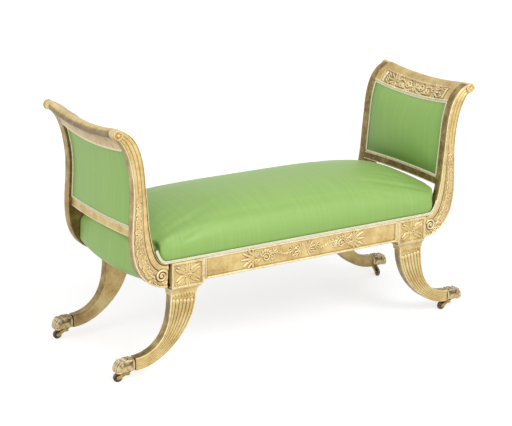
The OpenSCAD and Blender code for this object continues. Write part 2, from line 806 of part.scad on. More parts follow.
// Length shares against height, half width and toe depth shares
paw_shares = [
    [0, 1, 1, 0], [0.08, 1.02, 1.02, 0], [0.2, 0.97, 1, 0.1], [0.33, 0.93, 1.02, 0.35],
    [0.45, 0.93, 1.08, 0.75], [0.56, 0.95, 1.14, 1], [0.67, 0.92, 1.17, 1],
    [0.77, 0.84, 1.16, 1], [0.86, 0.72, 1.1, 1], [0.93, 0.54, 0.98, 0.8],
    [0.98, 0.33, 0.82, 0.5], [1, 0.2, 0.7, 0.3]];
toe_deep_share = 0.12;
paw_edge_share = 0.12;
paw_sole_share = 0.86;
paw_ease = 0.65;
paw_h = leg_end_w + paw_lip + paw_wall;
paw_half = leg_t / 2 + paw_wall;
function paw_ring(s) =
    let (x = leg_x1 + s[0] * paw_len, h = paw_h * s[1], b = paw_half * s[2],
         arc = toes * toe_cuts)
    concat(
        [for (i = [0 : arc])
            let (a = 180 * i / arc, lobe = abs(sin(180 * i / toe_cuts)),
                 k = 1 - toe_deep_share * s[3] * (1 - lobe),
                 c = cos(a), e = sin(a))
            [x, -leg_mid_y - b * sign(c) * pow(abs(c), paw_ease) * k,
                sole_z + h * mix(paw_edge_share, 1, pow(e, paw_ease)) * k]],
        [[x, -leg_mid_y + b * paw_sole_share, sole_z],
            [x, -leg_mid_y - b * paw_sole_share, sole_z]]);
module paw_solid() {
    difference() {
        loft([for (s = paw_shares) paw_ring(s)]);
        translate([leg_x1 - cut, -leg_mid_y - leg_tenon[1] / 2 - joint_gap,
                leg_z1 - leg_tenon[2] / 2 - joint_gap])
            cube([leg_tenon[0] + cut + joint_gap, leg_tenon[1] + 2 * joint_gap,
                leg_tenon[2] + 2 * joint_gap]);
        translate([pivot_x, -leg_mid_y, sole_z - cut])
            cylinder(r = pivot_r + joint_gap, h = stem_h + cut + joint_gap);
    }
}
module paw_cap(left, back) { color(brass) corner(left, back) paw_solid(); }

// Castors

pivot_in = 22;
pivot_x = leg_x1 + pivot_in;
stem_h = 7;
plate_r = 12;
rivet_r = 6;
rivet_t = 2;
horn_gap = 0.3;
horn_r = 9;
cheek_t = 3;
cheek_gap = 0.5;
cheek_r = 6;
horn_z1 = sole_z - plate_t - horn_gap;
collar_h = 9;
horn_z0 = horn_z1 - collar_h;
web_lap = 2;
pivot_wall = 1;
axle_head_r = 4;
axle_head_t = 1.2;

// The way each wheel stands, as turned from trailing inwards
heading_fl = 170;
heading_fr = 0;
heading_bl = 180;
heading_br = 75;

// Pivot of a castor, with its fork turned to a heading
module castor_at(left, back, heading) {
    side = left ? -1 : 1;
    translate([side * pivot_x, back ? leg_mid_y : -leg_mid_y, 0])
        rotate([0, 0, heading + (left ? 180 : 0)]) children();
}

// Fixed plate under the paw, with the swivel pin riveted below it
module castor_plates() {
    color(brass)
        for (left = [0, 1], back = [0, 1])
            corner(left, back) translate([pivot_x, -leg_mid_y, 0]) {
                translate([0, 0, sole_z - plate_t]) cylinder(r = plate_r, h = plate_t);
                translate([0, 0, horn_z0 - horn_gap - rivet_t / 2])
                    cylinder(r = pivot_r, h = sole_z + stem_h - horn_z0 + horn_gap + rivet_t / 2);
                translate([0, 0, horn_z0 - horn_gap - rivet_t]) cylinder(r = rivet_r, h = rivet_t);
            }
}

// Horned fork: a collar on the swivel pin, a web and two cheeks. The wheel
// trails towards -X of the fork.
module cheek_outline() {
    hull() {
        translate([-trail, wheel_r]) circle(r = cheek_r);
        translate([-horn_r - web_lap, horn_z0]) square([web_lap, horn_z1 - horn_z0]);
    }
}
module horn_solid() {
    inside = wheel_w + 2 * cheek_gap;
    outside = inside + 2 * cheek_t;
    web_x = trail - wheel_r - web_lap;
    difference() {
        union() {
            translate([0, 0, horn_z0]) cylinder(r = horn_r, h = horn_z1 - horn_z0);
            for (y = [-outside / 2, inside / 2])
                slab(y, y + cheek_t) cheek_outline();
            translate([-web_x, -outside / 2, horn_z0])
                cube([web_x - pivot_r - pivot_wall, outside, horn_z1 - horn_z0]);
        }
        translate([0, 0, horn_z0 - cut])
            cylinder(r = pivot_r + run_gap, h = horn_z1 - horn_z0 + 2 * cut);
        translate([-trail, outside, wheel_r])
            rotate([90, 0, 0]) cylinder(r = axle_r + run_gap, h = 2 * outside);
    }
}
module castor_horn(left, back, heading) {
    color(brass) castor_at(left, back, heading) horn_solid();
}

module castor_axle(left, back, heading) {
    reach = wheel_w / 2 + cheek_gap + cheek_t;
    color(brass) castor_at(left, back, heading)
        translate([-trail, reach, wheel_r]) rotate([90, 0, 0]) {
            cylinder(r = axle_r, h = 2 * reach);
            for (z = [-axle_head_t, 2 * reach])
                translate([0, 0, z]) cylinder(r = axle_head_r, h = axle_head_t);
        }
}

// Half a wheel's outline from its hub to its tread: radius shares, width shares
wheel_shares = [[0.45, 1], [0.5, 0.8], [0.8, 0.8], [0.87, 1], [1, 0.6]];
module castor_wheel(left, back, heading) {
    half = wheel_w / 2;
    rim = [for (s = wheel_shares) [wheel_r * s[0], half * s[1]]];
    color(iron) castor_at(left, back, heading)
        translate([-trail, 0, wheel_r]) rotate([90, 0, 0]) rotate_extrude()
            polygon(concat(
                [[axle_r + run_gap, -half]], [for (q = rim) [q[0], -q[1]]],
                backwards(rim), [[axle_r + run_gap, half]]));
}

front_rail();
back_rail();
cross_rail();
end_rail(1);  // end_rail_left
end_rail(0);  // end_rail_right
corner_block(1, 0);  // corner_block_fl
corner_block(0, 0);  // corner_block_fr
corner_block(1, 1);  // corner_block_bl
corner_block(0, 1);  // corner_block_br
leg(1, 0);  // leg_fl
leg(0, 0);  // leg_fr
leg(1, 1);  // leg_bl
leg(0, 1);  // leg_br
stile(1, 0);  // stile_fl
stile(0, 0);  // stile_fr
stile(1, 1);  // stile_bl
stile(0, 1);  // stile_br
crest_rail(1);  // crest_rail_left
crest_rail(0);  // crest_rail_right
crest_bosses();
lower_rail(1);  // lower_rail_left
lower_rail(0);  // lower_rail_right
panel_pad(1);  // panel_pad_left
panel_pad(0);  // panel_pad_right
panel_webbing(1);  // panel_webbing_left
panel_webbing(0);  // panel_webbing_right
panel_cover(1);  // panel_cover_left
panel_cover(0);  // panel_cover_right
inner_gimp(1);  // inner_gimp_left
inner_gimp(0);  // inner_gimp_right
outer_gimp(1);  // outer_gimp_left
outer_gimp(0);  // outer_gimp_right
seat_cushion();
end_cover(1);  // end_cover_left
end_cover(0);  // end_cover_right
seat_gimp_front();
seat_gimp_back();
seat_webbing();
bottom_cloth();
corner_braces();
brace_screws();
leg_dowels();
paw_cap(1, 0);  // paw_cap_fl
paw_cap(0, 0);  // paw_cap_fr
paw_cap(1, 1);  // paw_cap_bl
paw_cap(0, 1);  // paw_cap_br
castor_plates();
castor_horn(1, 0, heading_fl);  // castor_horn_fl
castor_horn(0, 0, heading_fr);  // castor_horn_fr
castor_horn(1, 1, heading_bl);  // castor_horn_bl
castor_horn(0, 1, heading_br);  // castor_horn_br
castor_axle(1, 0, heading_fl);  // castor_axle_fl
castor_axle(0, 0, heading_fr);  // castor_axle_fr
castor_axle(1, 1, heading_bl);  // castor_axle_bl
castor_axle(0, 1, heading_br);  // castor_axle_br
castor_wheel(1, 0, heading_fl);  // castor_wheel_fl
castor_wheel(0, 0, heading_fr);  // castor_wheel_fr
castor_wheel(1, 1, heading_bl);  // castor_wheel_bl
castor_wheel(0, 1, heading_br);  // castor_wheel_br
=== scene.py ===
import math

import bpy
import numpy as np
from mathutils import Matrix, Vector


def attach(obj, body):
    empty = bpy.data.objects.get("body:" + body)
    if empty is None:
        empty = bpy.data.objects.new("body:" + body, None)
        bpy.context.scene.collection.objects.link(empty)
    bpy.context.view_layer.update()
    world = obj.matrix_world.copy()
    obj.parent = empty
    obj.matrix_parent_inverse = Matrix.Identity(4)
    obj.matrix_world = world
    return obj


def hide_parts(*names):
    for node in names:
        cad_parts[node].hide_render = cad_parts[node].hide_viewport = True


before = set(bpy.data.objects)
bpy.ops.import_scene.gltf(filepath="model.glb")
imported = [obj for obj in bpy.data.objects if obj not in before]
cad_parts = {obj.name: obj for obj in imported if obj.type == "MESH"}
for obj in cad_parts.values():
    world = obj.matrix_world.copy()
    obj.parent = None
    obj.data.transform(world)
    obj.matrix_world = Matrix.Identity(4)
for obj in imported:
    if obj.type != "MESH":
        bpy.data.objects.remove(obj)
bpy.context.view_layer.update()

# %% [markdown]
# # A giltwood window seat
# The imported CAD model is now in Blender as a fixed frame: every solid in its place,
# in metres. This lesson dresses it piece by piece. A carved or soft piece is made
# new and stands for its CAD solid, and a plain piece that is already right keeps its
# CAD mesh and only gets a finish. The sizes below are the CAD model's own, in
# millimetres, and are turned into metres when a mesh is made.

# %% [markdown]
# ## The camera
# The photograph was taken from the left, a little above the seat, with a long lens.
# A camera could be turned by hand until it looks right. Here its place, its turn
# and its focal length were solved from points on the blocks, legs and rolls, so the
# numbers are written down as they came out.

# %% Camera
def linked(name, data):
    """A new object in the scene that carries this data."""
    one = bpy.data.objects.new(name, data)
    bpy.context.scene.collection.objects.link(one)
    return one


photo_w, focal_px, sensor_mm = 512, 1543.7, 36
cam_at = np.array([-2752.7, -4216.5, 1914.3])
yaw, pitch, tilt = 0.99790, -0.29320, 0.01300
look = np.array([math.cos(pitch) * math.cos(yaw), math.cos(pitch) * math.sin(yaw), math.sin(pitch)])
side = np.array([math.sin(yaw), -math.cos(yaw), 0.0])
over = np.cross(side, look)
side, over = (side * math.cos(tilt) + over * math.sin(tilt),
              over * math.cos(tilt) - side * math.sin(tilt))
camera = linked("photo_view", bpy.data.cameras.new("photo_view"))
camera.matrix_world = Matrix([[side[i], over[i], -look[i], cam_at[i] / 1000] for i in range(3)]
                             + [[0, 0, 0, 1]])
camera.data.sensor_fit, camera.data.sensor_width = "HORIZONTAL", sensor_mm
camera.data.lens = sensor_mm * focal_px / photo_w
bpy.context.scene.camera = camera
print("lens", round(camera.data.lens, 1), "mm")

# %% [markdown]
# ## Sizes and curves
# The uprights and legs follow Bezier middle lines, as in the CAD source. Numpy
# works out whole rows of points at once, which is quicker and shorter than a loop.

# %% Sizes of the frame, in mm
rail_len, rail_top, rail_h, rail_t, rail_y = 776, 370, 73, 32, 247
block_in, block_out, block_face, block_back, block_h = 388, 502, 252, 202, 84
leg_y, leg_t, leg_top_w, leg_end_w, cap_h = 238, 36, 93, 41, 14
stile_y, stile_t, foot_w, waist_w, roll_r, boss_r = 240, 33, 78, 42, 15, 18
sole_z = 32.5
block_w = block_out - block_in
span_y = stile_y - stile_t
rail_z = rail_top - rail_h
block_z = rail_top - block_h
leg_mid_y = leg_y - leg_t / 2
print("blocks", block_w, "x", block_h, "mm, ends open over", 2 * span_y, "mm")


# %% Curve helpers
def mix(a, b, t):
    """From a to b as t goes from 0 to 1."""
    return a + (b - a) * t


def ease(x, low=0.0, high=1.0):
    """A soft step from 0 to 1 between low and high."""
    t = np.clip((np.asarray(x, float) - low) / (high - low), 0, 1)
    return t * t * (3 - 2 * t)


def unit(v):
    return v / np.maximum(np.linalg.norm(v, axis=-1, keepdims=True), 1e-12)


def bezier(c, t):
    c, t = np.asarray(c, float), np.asarray(t, float)[..., None]
    return (c[0] * (1 - t) ** 3 + c[1] * 3 * t * (1 - t) ** 2
            + c[2] * 3 * t * t * (1 - t) + c[3] * t ** 3)


def bezier_way(c, t):
    """Which way a Bezier line runs at t, and how fast."""
    c, t = np.asarray(c, float), np.asarray(t, float)[..., None]
    return ((c[1] - c[0]) * 3 * (1 - t) ** 2 + (c[2] - c[1]) * 6 * t * (1 - t)
            + (c[3] - c[2]) * 3 * t * t)


def smooth(knots, x):
    """A soft curve through evenly spaced knots, read at x."""
    k = np.asarray(knots, float)
    i = np.clip(np.floor(x).astype(int), 0, len(k) - 2)
    t = x - i
    a, b, c, d = (k[np.clip(i + n, 0, len(k) - 1)] for n in (-1, 0, 1, 2))
    return b + t * ((c - a) / 2 + t * (a - 2.5 * b + 2 * c - d / 2
                                       + t * (1.5 * (b - c) + (d - a) / 2)))


# %% Middle line of a leg, and of an upright with p from 0 at its foot to 2 at its roll
leg_inset, leg_reach, paw_gap, leg_drop_share = 3, 124, 1.5, 0.62
leg_x0, leg_z0 = block_out - leg_inset - leg_top_w / 2, block_z - cap_h
leg_x1, leg_z1 = block_out + leg_reach, sole_z + paw_gap + leg_end_w / 2
leg_line = [[leg_x0, leg_z0], [leg_x0, mix(leg_z0, leg_z1, leg_drop_share)],
            [mix(leg_x1, leg_x0, 0.5), leg_z1], [leg_x1, leg_z1]]
foot_z = rail_top - (block_h - foot_w) / 4 - foot_w / 2
mid_out, mid_up, roll_out, roll_up, lean = 102, 148, 179, 432, math.radians(20)
mid_x, mid_z = block_out + mid_out, rail_top + mid_up
roll_x, roll_z = block_out + roll_out, rail_top + roll_up
foot_pull, rise_pull, flare_pull, roll_pull = 75, 130, 140, 75
foot_line = [[block_out, foot_z], [block_out + foot_pull, foot_z],
             [mid_x, mid_z - rise_pull], [mid_x, mid_z]]
flare_line = [[mid_x, mid_z], [mid_x, mid_z + flare_pull],
              [roll_x - roll_pull * math.cos(lean), roll_z - roll_pull * math.sin(lean)],
              [roll_x, roll_z]]
foot_shares = [1, 0.95, 0.92, 0.76, 0.35, 0, 0, 0, 0]
roll_shares = [0, 0, 0, 0, 0, 0, -0.1, 0.05, 1]


def on_line(p, curve):
    """Reads the foot's line up to p = 1 and the flare's line beyond."""
    p = np.asarray(p, float)
    return np.where(p[..., None] <= 1, curve(foot_line, np.minimum(p, 1)),
                    curve(flare_line, np.maximum(p - 1, 0)))


def line_at(p):
    return on_line(p, bezier)


def line_out(p):
    """Square to the line, away from the middle of the seat."""
    w = unit(on_line(p, bezier_way))
    return np.stack([w[..., 1], -w[..., 0]], -1)


def stile_w(p):
    """Width of an upright: wide at the foot, narrow at the waist, round at the roll."""
    p = np.asarray(p, float)
    return (waist_w + (foot_w - waist_w) * smooth(foot_shares, p * 4)
            + (2 * roll_r - 1 - waist_w) * smooth(roll_shares, p * 4))


def edge_in(p, inset=0.0):
    return line_at(p) - line_out(p) * (stile_w(p) / 2 - inset)[..., None]


def edge_out(p, inset=0.0):
    return line_at(p) + line_out(p) * (stile_w(p) / 2 - inset)[..., None]


# %% Places along an upright, found by height and by length
def length_along(points):
    """Length from the first point of a row to each of its points."""
    return np.concatenate([[0], np.cumsum(np.linalg.norm(np.diff(points, axis=0), axis=1))])


fine_p = np.linspace(0, 2, 4001)
fine_xz = line_at(fine_p)
fine_len = length_along(fine_xz)
stile_len = fine_len[-1]


def length_at(p):
    return np.interp(p, fine_p, fine_len)


def p_at_length(length):
    return np.interp(length, fine_len, fine_p)


def p_at_height(z):
    return np.interp(z, fine_xz[:, 1], fine_p)


def p_step(p, length):
    return float(p_at_length(length_at(p) + length))


cross_h, cross_lift, crest_h, crest_dip, cross_bow, crest_bow = 29, 93, 53, 15, 12, 5
p_cross0 = p_at_height(rail_top + cross_lift)
p_cross1 = p_at_height(rail_top + cross_lift + cross_h)
p_crest = p_at_height(roll_z - crest_h)


def end_point(p, out, y):
    """A point of an end: p up its line, out from it and y across."""
    p, out, y = np.broadcast_arrays(*(np.asarray(v, float) for v in (p, out, y)))
    k = np.clip((p - p_cross1) / (p_crest - p_cross1), 0, 1)
    swell = 1 - (y / span_y) ** 2
    at = line_at(p) + line_out(p) * out[..., None]
    return np.stack([at[..., 0] + mix(cross_bow, crest_bow, k) * swell, y,
                     at[..., 1] - crest_dip * k * swell], -1)


print("upright", round(stile_len), "mm long; lower rail from p", round(p_cross0, 3),
      "crest from p", round(p_crest, 3))

# %% [markdown]
# ## From rows of points to a piece
# A piece starts as a grid of points, row by row, like a knitted tube. Four
# neighbours make a face. The helpers below join grids, close their ends, turn a
# shape's faces outwards by the sign of its volume, and mirror the front right
# quarter of the seat to the other corners. They also measure where the surface is
# hollow, because old gilding is dark in its hollows and rubbed on its edges.


# %% Shapes: points, four-sided faces and triangles
def grid_faces(rows, cols, wrap_rows=False, wrap_cols=True):
    """Four-sided faces over rows of points; a wrapped side joins its last to its first."""
    i, j = np.meshgrid(np.arange(rows if wrap_rows else rows - 1),
                       np.arange(cols if wrap_cols else cols - 1), indexing="ij")
    k, m = (i + 1) % rows, (j + 1) % cols
    return np.stack([i * cols + j, i * cols + m, k * cols + m, k * cols + j], -1).reshape(-1, 4)


def outward(shape):
    """Turns the faces round where the shape's volume comes out below zero."""
    p, q, t = shape["points"], shape["quads"], shape["tris"]
    v = np.einsum("ij,ij->", p[q[:, 0]], np.cross(p[q[:, 1]], p[q[:, 2]]))
    v += np.einsum("ij,ij->", p[q[:, 0]], np.cross(p[q[:, 2]], p[q[:, 3]]))
    if len(t):
        v += np.einsum("ij,ij->", p[t[:, 0]], np.cross(p[t[:, 1]], p[t[:, 2]]))
    if v < 0:
        shape["quads"], shape["tris"] = q[:, ::-1], t[:, ::-1]
    return shape


def sides_of(quads, n):
    """Both ends of every side of the faces, and how many sides meet at each of n points."""
    pairs = np.concatenate([quads[:, [k, (k + 1) % 4]] for k in range(4)])
    count = np.bincount(pairs[:, 0], minlength=n) + np.bincount(pairs[:, 1], minlength=n)
    return pairs, np.maximum(count, 1)


def evened(points, pairs, count):
    """Every point at the mean of its neighbours."""
    n = len(points)
    return np.stack([(np.bincount(pairs[:, 0], points[pairs[:, 1], c], n)
                      + np.bincount(pairs[:, 1], points[pairs[:, 0], c], n)) / count
                     for c in range(3)], -1)


def hollow_of(shape, reach=8, deep=1.1):
    """How far each point lies behind (+) or before (-) its surroundings, from -1 to 1."""
    p, q = shape["points"], shape["quads"]
    face = np.cross(p[q[:, 2]] - p[q[:, 0]], p[q[:, 3]] - p[q[:, 1]])
    normal = np.stack([sum(np.bincount(q[:, k], face[:, c], len(p)) for k in range(4))
                       for c in range(3)], -1)
    pairs, count = sides_of(q, len(p))
    soft = p
    for _ in range(reach):
        soft = evened(soft, pairs, count)
    return np.clip(np.einsum("ij,ij->i", soft - p, unit(normal)) / deep, -1, 1)


def shape_of(points, quads, tris=(), bare=0.0, reach=8):
    points = np.asarray(points, float).reshape(-1, 3)
    tris = np.asarray(tris, int).reshape(-1, 3)
    shape = outward({"points": points, "quads": quads, "tris": tris})
    shape["bare"] = np.broadcast_to(np.asarray(bare, float).ravel(), (len(points),)).copy()
    shape["hollow"] = hollow_of(shape, reach) if reach else np.zeros(len(points))
    return shape


def tube(rings, bare=0.0, reach=8):
    """Closed skin over rings of points, with a fan over each end."""
    rows, cols = rings.shape[:2]
    points = np.concatenate([rings.reshape(-1, 3), rings[[0, -1]].mean(axis=1)])
    a, j = rows * cols, np.arange(cols)
    k = (j + 1) % cols
    last = (rows - 1) * cols
    tris = np.concatenate([np.c_[k, j, np.full(cols, a)],
                           np.c_[last + j, last + k, np.full(cols, a + 1)]])
    if np.ndim(bare):
        bare = np.concatenate([np.broadcast_to(bare, (rows, cols)).ravel(), [0, 0]])
    return shape_of(points, grid_faces(rows, cols), tris, bare, reach)


def joined(*shapes):
    start, quads, tris = 0, [], []
    for s in shapes:
        quads.append(s["quads"] + start)
        tris.append(s["tris"] + start)
        start += len(s["points"])
    out = {k: np.concatenate([s[k] for s in shapes]) for k in ("points", "bare", "hollow")}
    return {**out, "quads": np.concatenate(quads), "tris": np.concatenate(tris)}


def cornered(shape, left, back):
    """A copy of a front right shape, mirrored to another corner."""
    flip = np.array([-1.0 if left else 1.0, -1.0 if back else 1.0, 1.0])
    return outward({**shape, "points": shape["points"] * flip})


corners = {"fl": (1, 0), "fr": (0, 0), "bl": (1, 1), "br": (0, 1)}
ends = {"left": 1, "right": 0}


# %% Turning a shape into a mesh object, and giving it its place in the seat
def new_mesh(name, shape, finish, sharp=42):
    """A mesh object in metres; edges turned by more than sharp degrees stay sharp."""
    mesh = bpy.data.meshes.new(name)
    mesh.from_pydata((shape["points"] / 1000).tolist(), [],
                     shape["quads"].tolist() + shape["tris"].tolist())
    for key in ("hollow", "bare"):
        layer = mesh.attributes.new(key, "FLOAT", "POINT")
        layer.data.foreach_set("value", shape[key].astype(np.float32))
    mesh.materials.append(finish)
    mesh.shade_smooth()
    if sharp:
        mesh.set_sharp_from_angle(angle=math.radians(sharp))
    return linked(name, mesh)


def place(piece, slot, *nodes, body="frame"):
    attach(piece, body)
    if nodes:
        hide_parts(*nodes)
    return piece


def at_corners(name, shape, finish, slot, node, sharp=42):
    """A shape of the front right corner, set at all four."""
    for q, (left, back) in corners.items():
        place(new_mesh(f"{name}_{q}", cornered(shape, left, back), finish, sharp), slot, f"{node}_{q}")


def at_ends(name, shape, finish, slot, node, sharp=42):
    """A shape of the right end, set at both."""
    for end, left in ends.items():
        place(new_mesh(f"{name}_{end}", cornered(shape, left, 0), finish, sharp), slot, f"{node}_{end}")


# %% [markdown]
# ## Carving as a height field
# A carver's ornament is made of rounded strokes: petals, stems, scrolls. Each
# stroke here is a short row of points with a radius and a height, and its section
# is a half round. Where strokes cross, the higher one wins, as in cut wood. The same
# stroke maker serves the rails, the blocks, the crest and the uprights.


# %% Heights of strokes over a surface
def carve(u, v, strokes):
    """Height of strokes over a plane, each a row of points with a radius and a height."""
    out = np.zeros_like(u)
    for s in strokes:
        s = np.asarray(s, float)
        r = s[:, 2].max()
        near = ((u > s[:, 0].min() - r) & (u < s[:, 0].max() + r)
                & (v > s[:, 1].min() - r) & (v < s[:, 1].max() + r))
        if not near.any():
            continue
        pu, pv, best = u[near], v[near], np.zeros(near.sum())
        for a, b in zip(s[:-1], s[1:]):
            d = b[:2] - a[:2]
            k = np.clip(((pu - a[0]) * d[0] + (pv - a[1]) * d[1]) / max(d @ d, 1e-9), 0, 1)
            far = (pu - a[0] - k * d[0]) ** 2 + (pv - a[1] - k * d[1]) ** 2
            rad = np.maximum(a[2] + (b[2] - a[2]) * k, 1e-6)
            h = a[3] + (b[3] - a[3]) * k
            best = np.maximum(best, h * np.sqrt(np.clip(1 - far / rad ** 2, 0, 1)))
        out[near] = np.maximum(out[near], best)
    return out


def petal(cu, cv, turn, start, reach, wide, high, bend=0.0, steps=7):
    """A stroke that widens as it leaves a centre."""
    t = np.linspace(0, 1, steps)
    a, r = turn + bend * t, mix(start, reach, t)
    return np.c_[cu + r * np.cos(a), cv + r * np.sin(a),
                 wide * (0.25 + 0.75 * np.sin(np.pi * t ** 0.8 * 0.86)), high * (0.55 + 0.45 * t)]


def dot(cu, cv, r, high):
    """A round bead, or a drilled hole where it is taken off."""
    return np.array([[cu - 0.1, cv, r, high], [cu + 0.1, cv, r, high]])


def scroll(cu, cv, r, turns, start, hand, wide, high):
    """A band that winds inwards round an eye."""
    t = np.linspace(0, 1, int(22 * turns))
    a, rad = start + hand * 2 * np.pi * turns * t, r * (1 - 0.8 * t)
    band = np.c_[cu + rad * np.cos(a), cv + rad * np.sin(a), wide * (1 - 0.45 * t), high + 0 * t]
    return [band, dot(cu, cv, r * 0.24, high * 1.25)]


def stem(points, wide, high, lobes=0, lobe=8.0):
    """A bending stem with leaf lobes on both sides, pointing on along it."""
    c = np.asarray(points, float)
    t = np.linspace(0, 1, 14)
    at, way = bezier(c, t), bezier_way(c, t)
    out = [np.c_[at, wide * (1 - 0.5 * t), high + 0 * t]]
    for i in range(lobes):
        k = (i + 0.5) / lobes
        o, w = bezier(c, k), bezier_way(c, k)
        turn = math.atan2(w[1], w[0])
        for s in (-1, 1):
            out.append(petal(o[0], o[1], turn + s * 0.9, 1, lobe * (1.1 - 0.5 * k), lobe * 0.2,
                             high * 0.9, -s * 0.5, 5))
    return out


def palmette(cu, cv, turn, reach, fan, lobes, high):
    """Petals spread over a fan, the middle ones longest."""
    out = []
    for s in np.linspace(-1, 1, lobes):
        out.append(petal(cu, cv, turn + s * fan / 2, reach * 0.14, reach * (1 - 0.3 * abs(s) ** 1.6),
                         reach * 0.085, high, 0.35 * s))
    return out


def flower(cu, cv, r, count, high):
    out = [petal(cu, cv, 2 * math.pi * k / count, r * 0.15, r * 0.92, r * 0.24, high)
           for k in range(count)]
    return out + [dot(cu, cv, r * 0.26, high * 1.35)]


def mirrored(strokes):
    """The strokes and their images across u = 0."""
    return list(strokes) + [np.asarray(s) * [-1, 1, 1, 1] for s in strokes]


def round_edge(d, r):
    """Depth lost at a distance d from an edge of radius r."""
    x = np.clip(r - d, 0, r)
    return r - np.sqrt(np.maximum(r * r - x * x, 0))


# %% [markdown]
# ## Finishes
# Everything is coloured by nodes that read the object's own coordinates, so the
# finish stays on the piece from every side and goes with it into an export. Colours
# are written as they look on a screen and turned into light values here.


# %% Node helpers
def rgb(r, g, b):
    line = [c / 255 / 12.92 if c <= 10 else ((c / 255 + 0.055) / 1.055) ** 2.4 for c in (r, g, b)]
    return (*line, 1.0)


def add(tree, kind, links=None, **facts):
    """A new node: links go to its inputs, as values or from sockets, and facts are its settings."""
    node = tree.nodes.new(kind)
    for key, value in facts.items():
        setattr(node, key, value)
    for key, value in (links or {}).items():
        if isinstance(value, bpy.types.NodeSocket):
            tree.links.new(value, node.inputs[key])
        else:
            node.inputs[key].default_value = value
    return node


def new_finish(name, **values):
    finish = bpy.data.materials.new(name)
    finish.use_nodes = True
    tree = finish.node_tree
    shader = tree.nodes["Principled BSDF"]
    for key, value in values.items():
        shader.inputs[key.replace("_", " ")].default_value = value
    where = add(tree, "ShaderNodeTexCoord").outputs["Object"]
    return finish, tree, shader, where


def noise(tree, where, scale, detail=4.0, rough=0.55, stretch=None):
    """Cloudy values round 0.5; stretch squeezes them along each axis."""
    if stretch:
        where = add(tree, "ShaderNodeMapping", {"Vector": where, "Scale": stretch}).outputs[0]
    return add(tree, "ShaderNodeTexNoise", {"Vector": where, "Scale": scale, "Detail": detail,
                                            "Roughness": rough}).outputs[0]


def ramp(tree, value, stops):
    node = add(tree, "ShaderNodeValToRGB", {"Fac": value})
    row = node.color_ramp.elements
    while len(row) < len(stops):
        row.new(0.5)
    for spot, (at, colour) in zip(row, stops):
        spot.position, spot.color = at, colour
    return node.outputs["Color"]


def span(tree, value, a, b, low=0.0, high=1.0):
    """Turns a value between a and b into one between low and high."""
    return add(tree, "ShaderNodeMapRange", {"Value": value, "From Min": a, "From Max": b,
                                            "To Min": low, "To Max": high}).outputs[0]


def math_node(tree, how, a, b):
    return add(tree, "ShaderNodeMath", {0: a, 1: b}, operation=how).outputs[0]


def times(tree, a, b):
    return math_node(tree, "MULTIPLY", a, b)


def blend(tree, factor, a, b):
    return add(tree, "ShaderNodeMix", {0: factor, 6: a, 7: b}, data_type="RGBA").outputs[2]


def attribute(tree, name):
    return add(tree, "ShaderNodeAttribute", attribute_name=name).outputs["Fac"]


def bump(tree, shader, height, distance, strength=1.0):
    node = add(tree, "ShaderNodeBump", {"Height": height, "Distance": distance,
                                        "Strength": strength})
    tree.links.new(node.outputs[0], shader.inputs["Normal"])


# %% [markdown]
# ### Gilding
# Water gilding is gold leaf on coloured clay over white gesso. With age a brown
# toning gathers in the hollows, and flat sides that were only painted show the warm
# clay. Raised edges are painted pale, as rubbed leaf and as a painted highlight, and
# some sides are painted brown, as wear and as painted shade. Three things steer the
# colour: patches of noise for the leaf, the measured hollows for the toning and the
# pale edges, and a value for each surface. Above 0 it shows the clay, below 0 a brown
# of wear and painted shade, and below -1 an almost black brown that is painted shade.
# Where parts meet, a few hollows are set deep so that they go dark as painted shade.


# %% Gilding
# Browns for wear and for painted shade on the frame's sides.
frame_wear_and_shade_browns = ((88, 66, 26), (128, 102, 50), (170, 142, 82))
worn_paw = ((40, 28, 20), (84, 64, 44), (140, 114, 78))


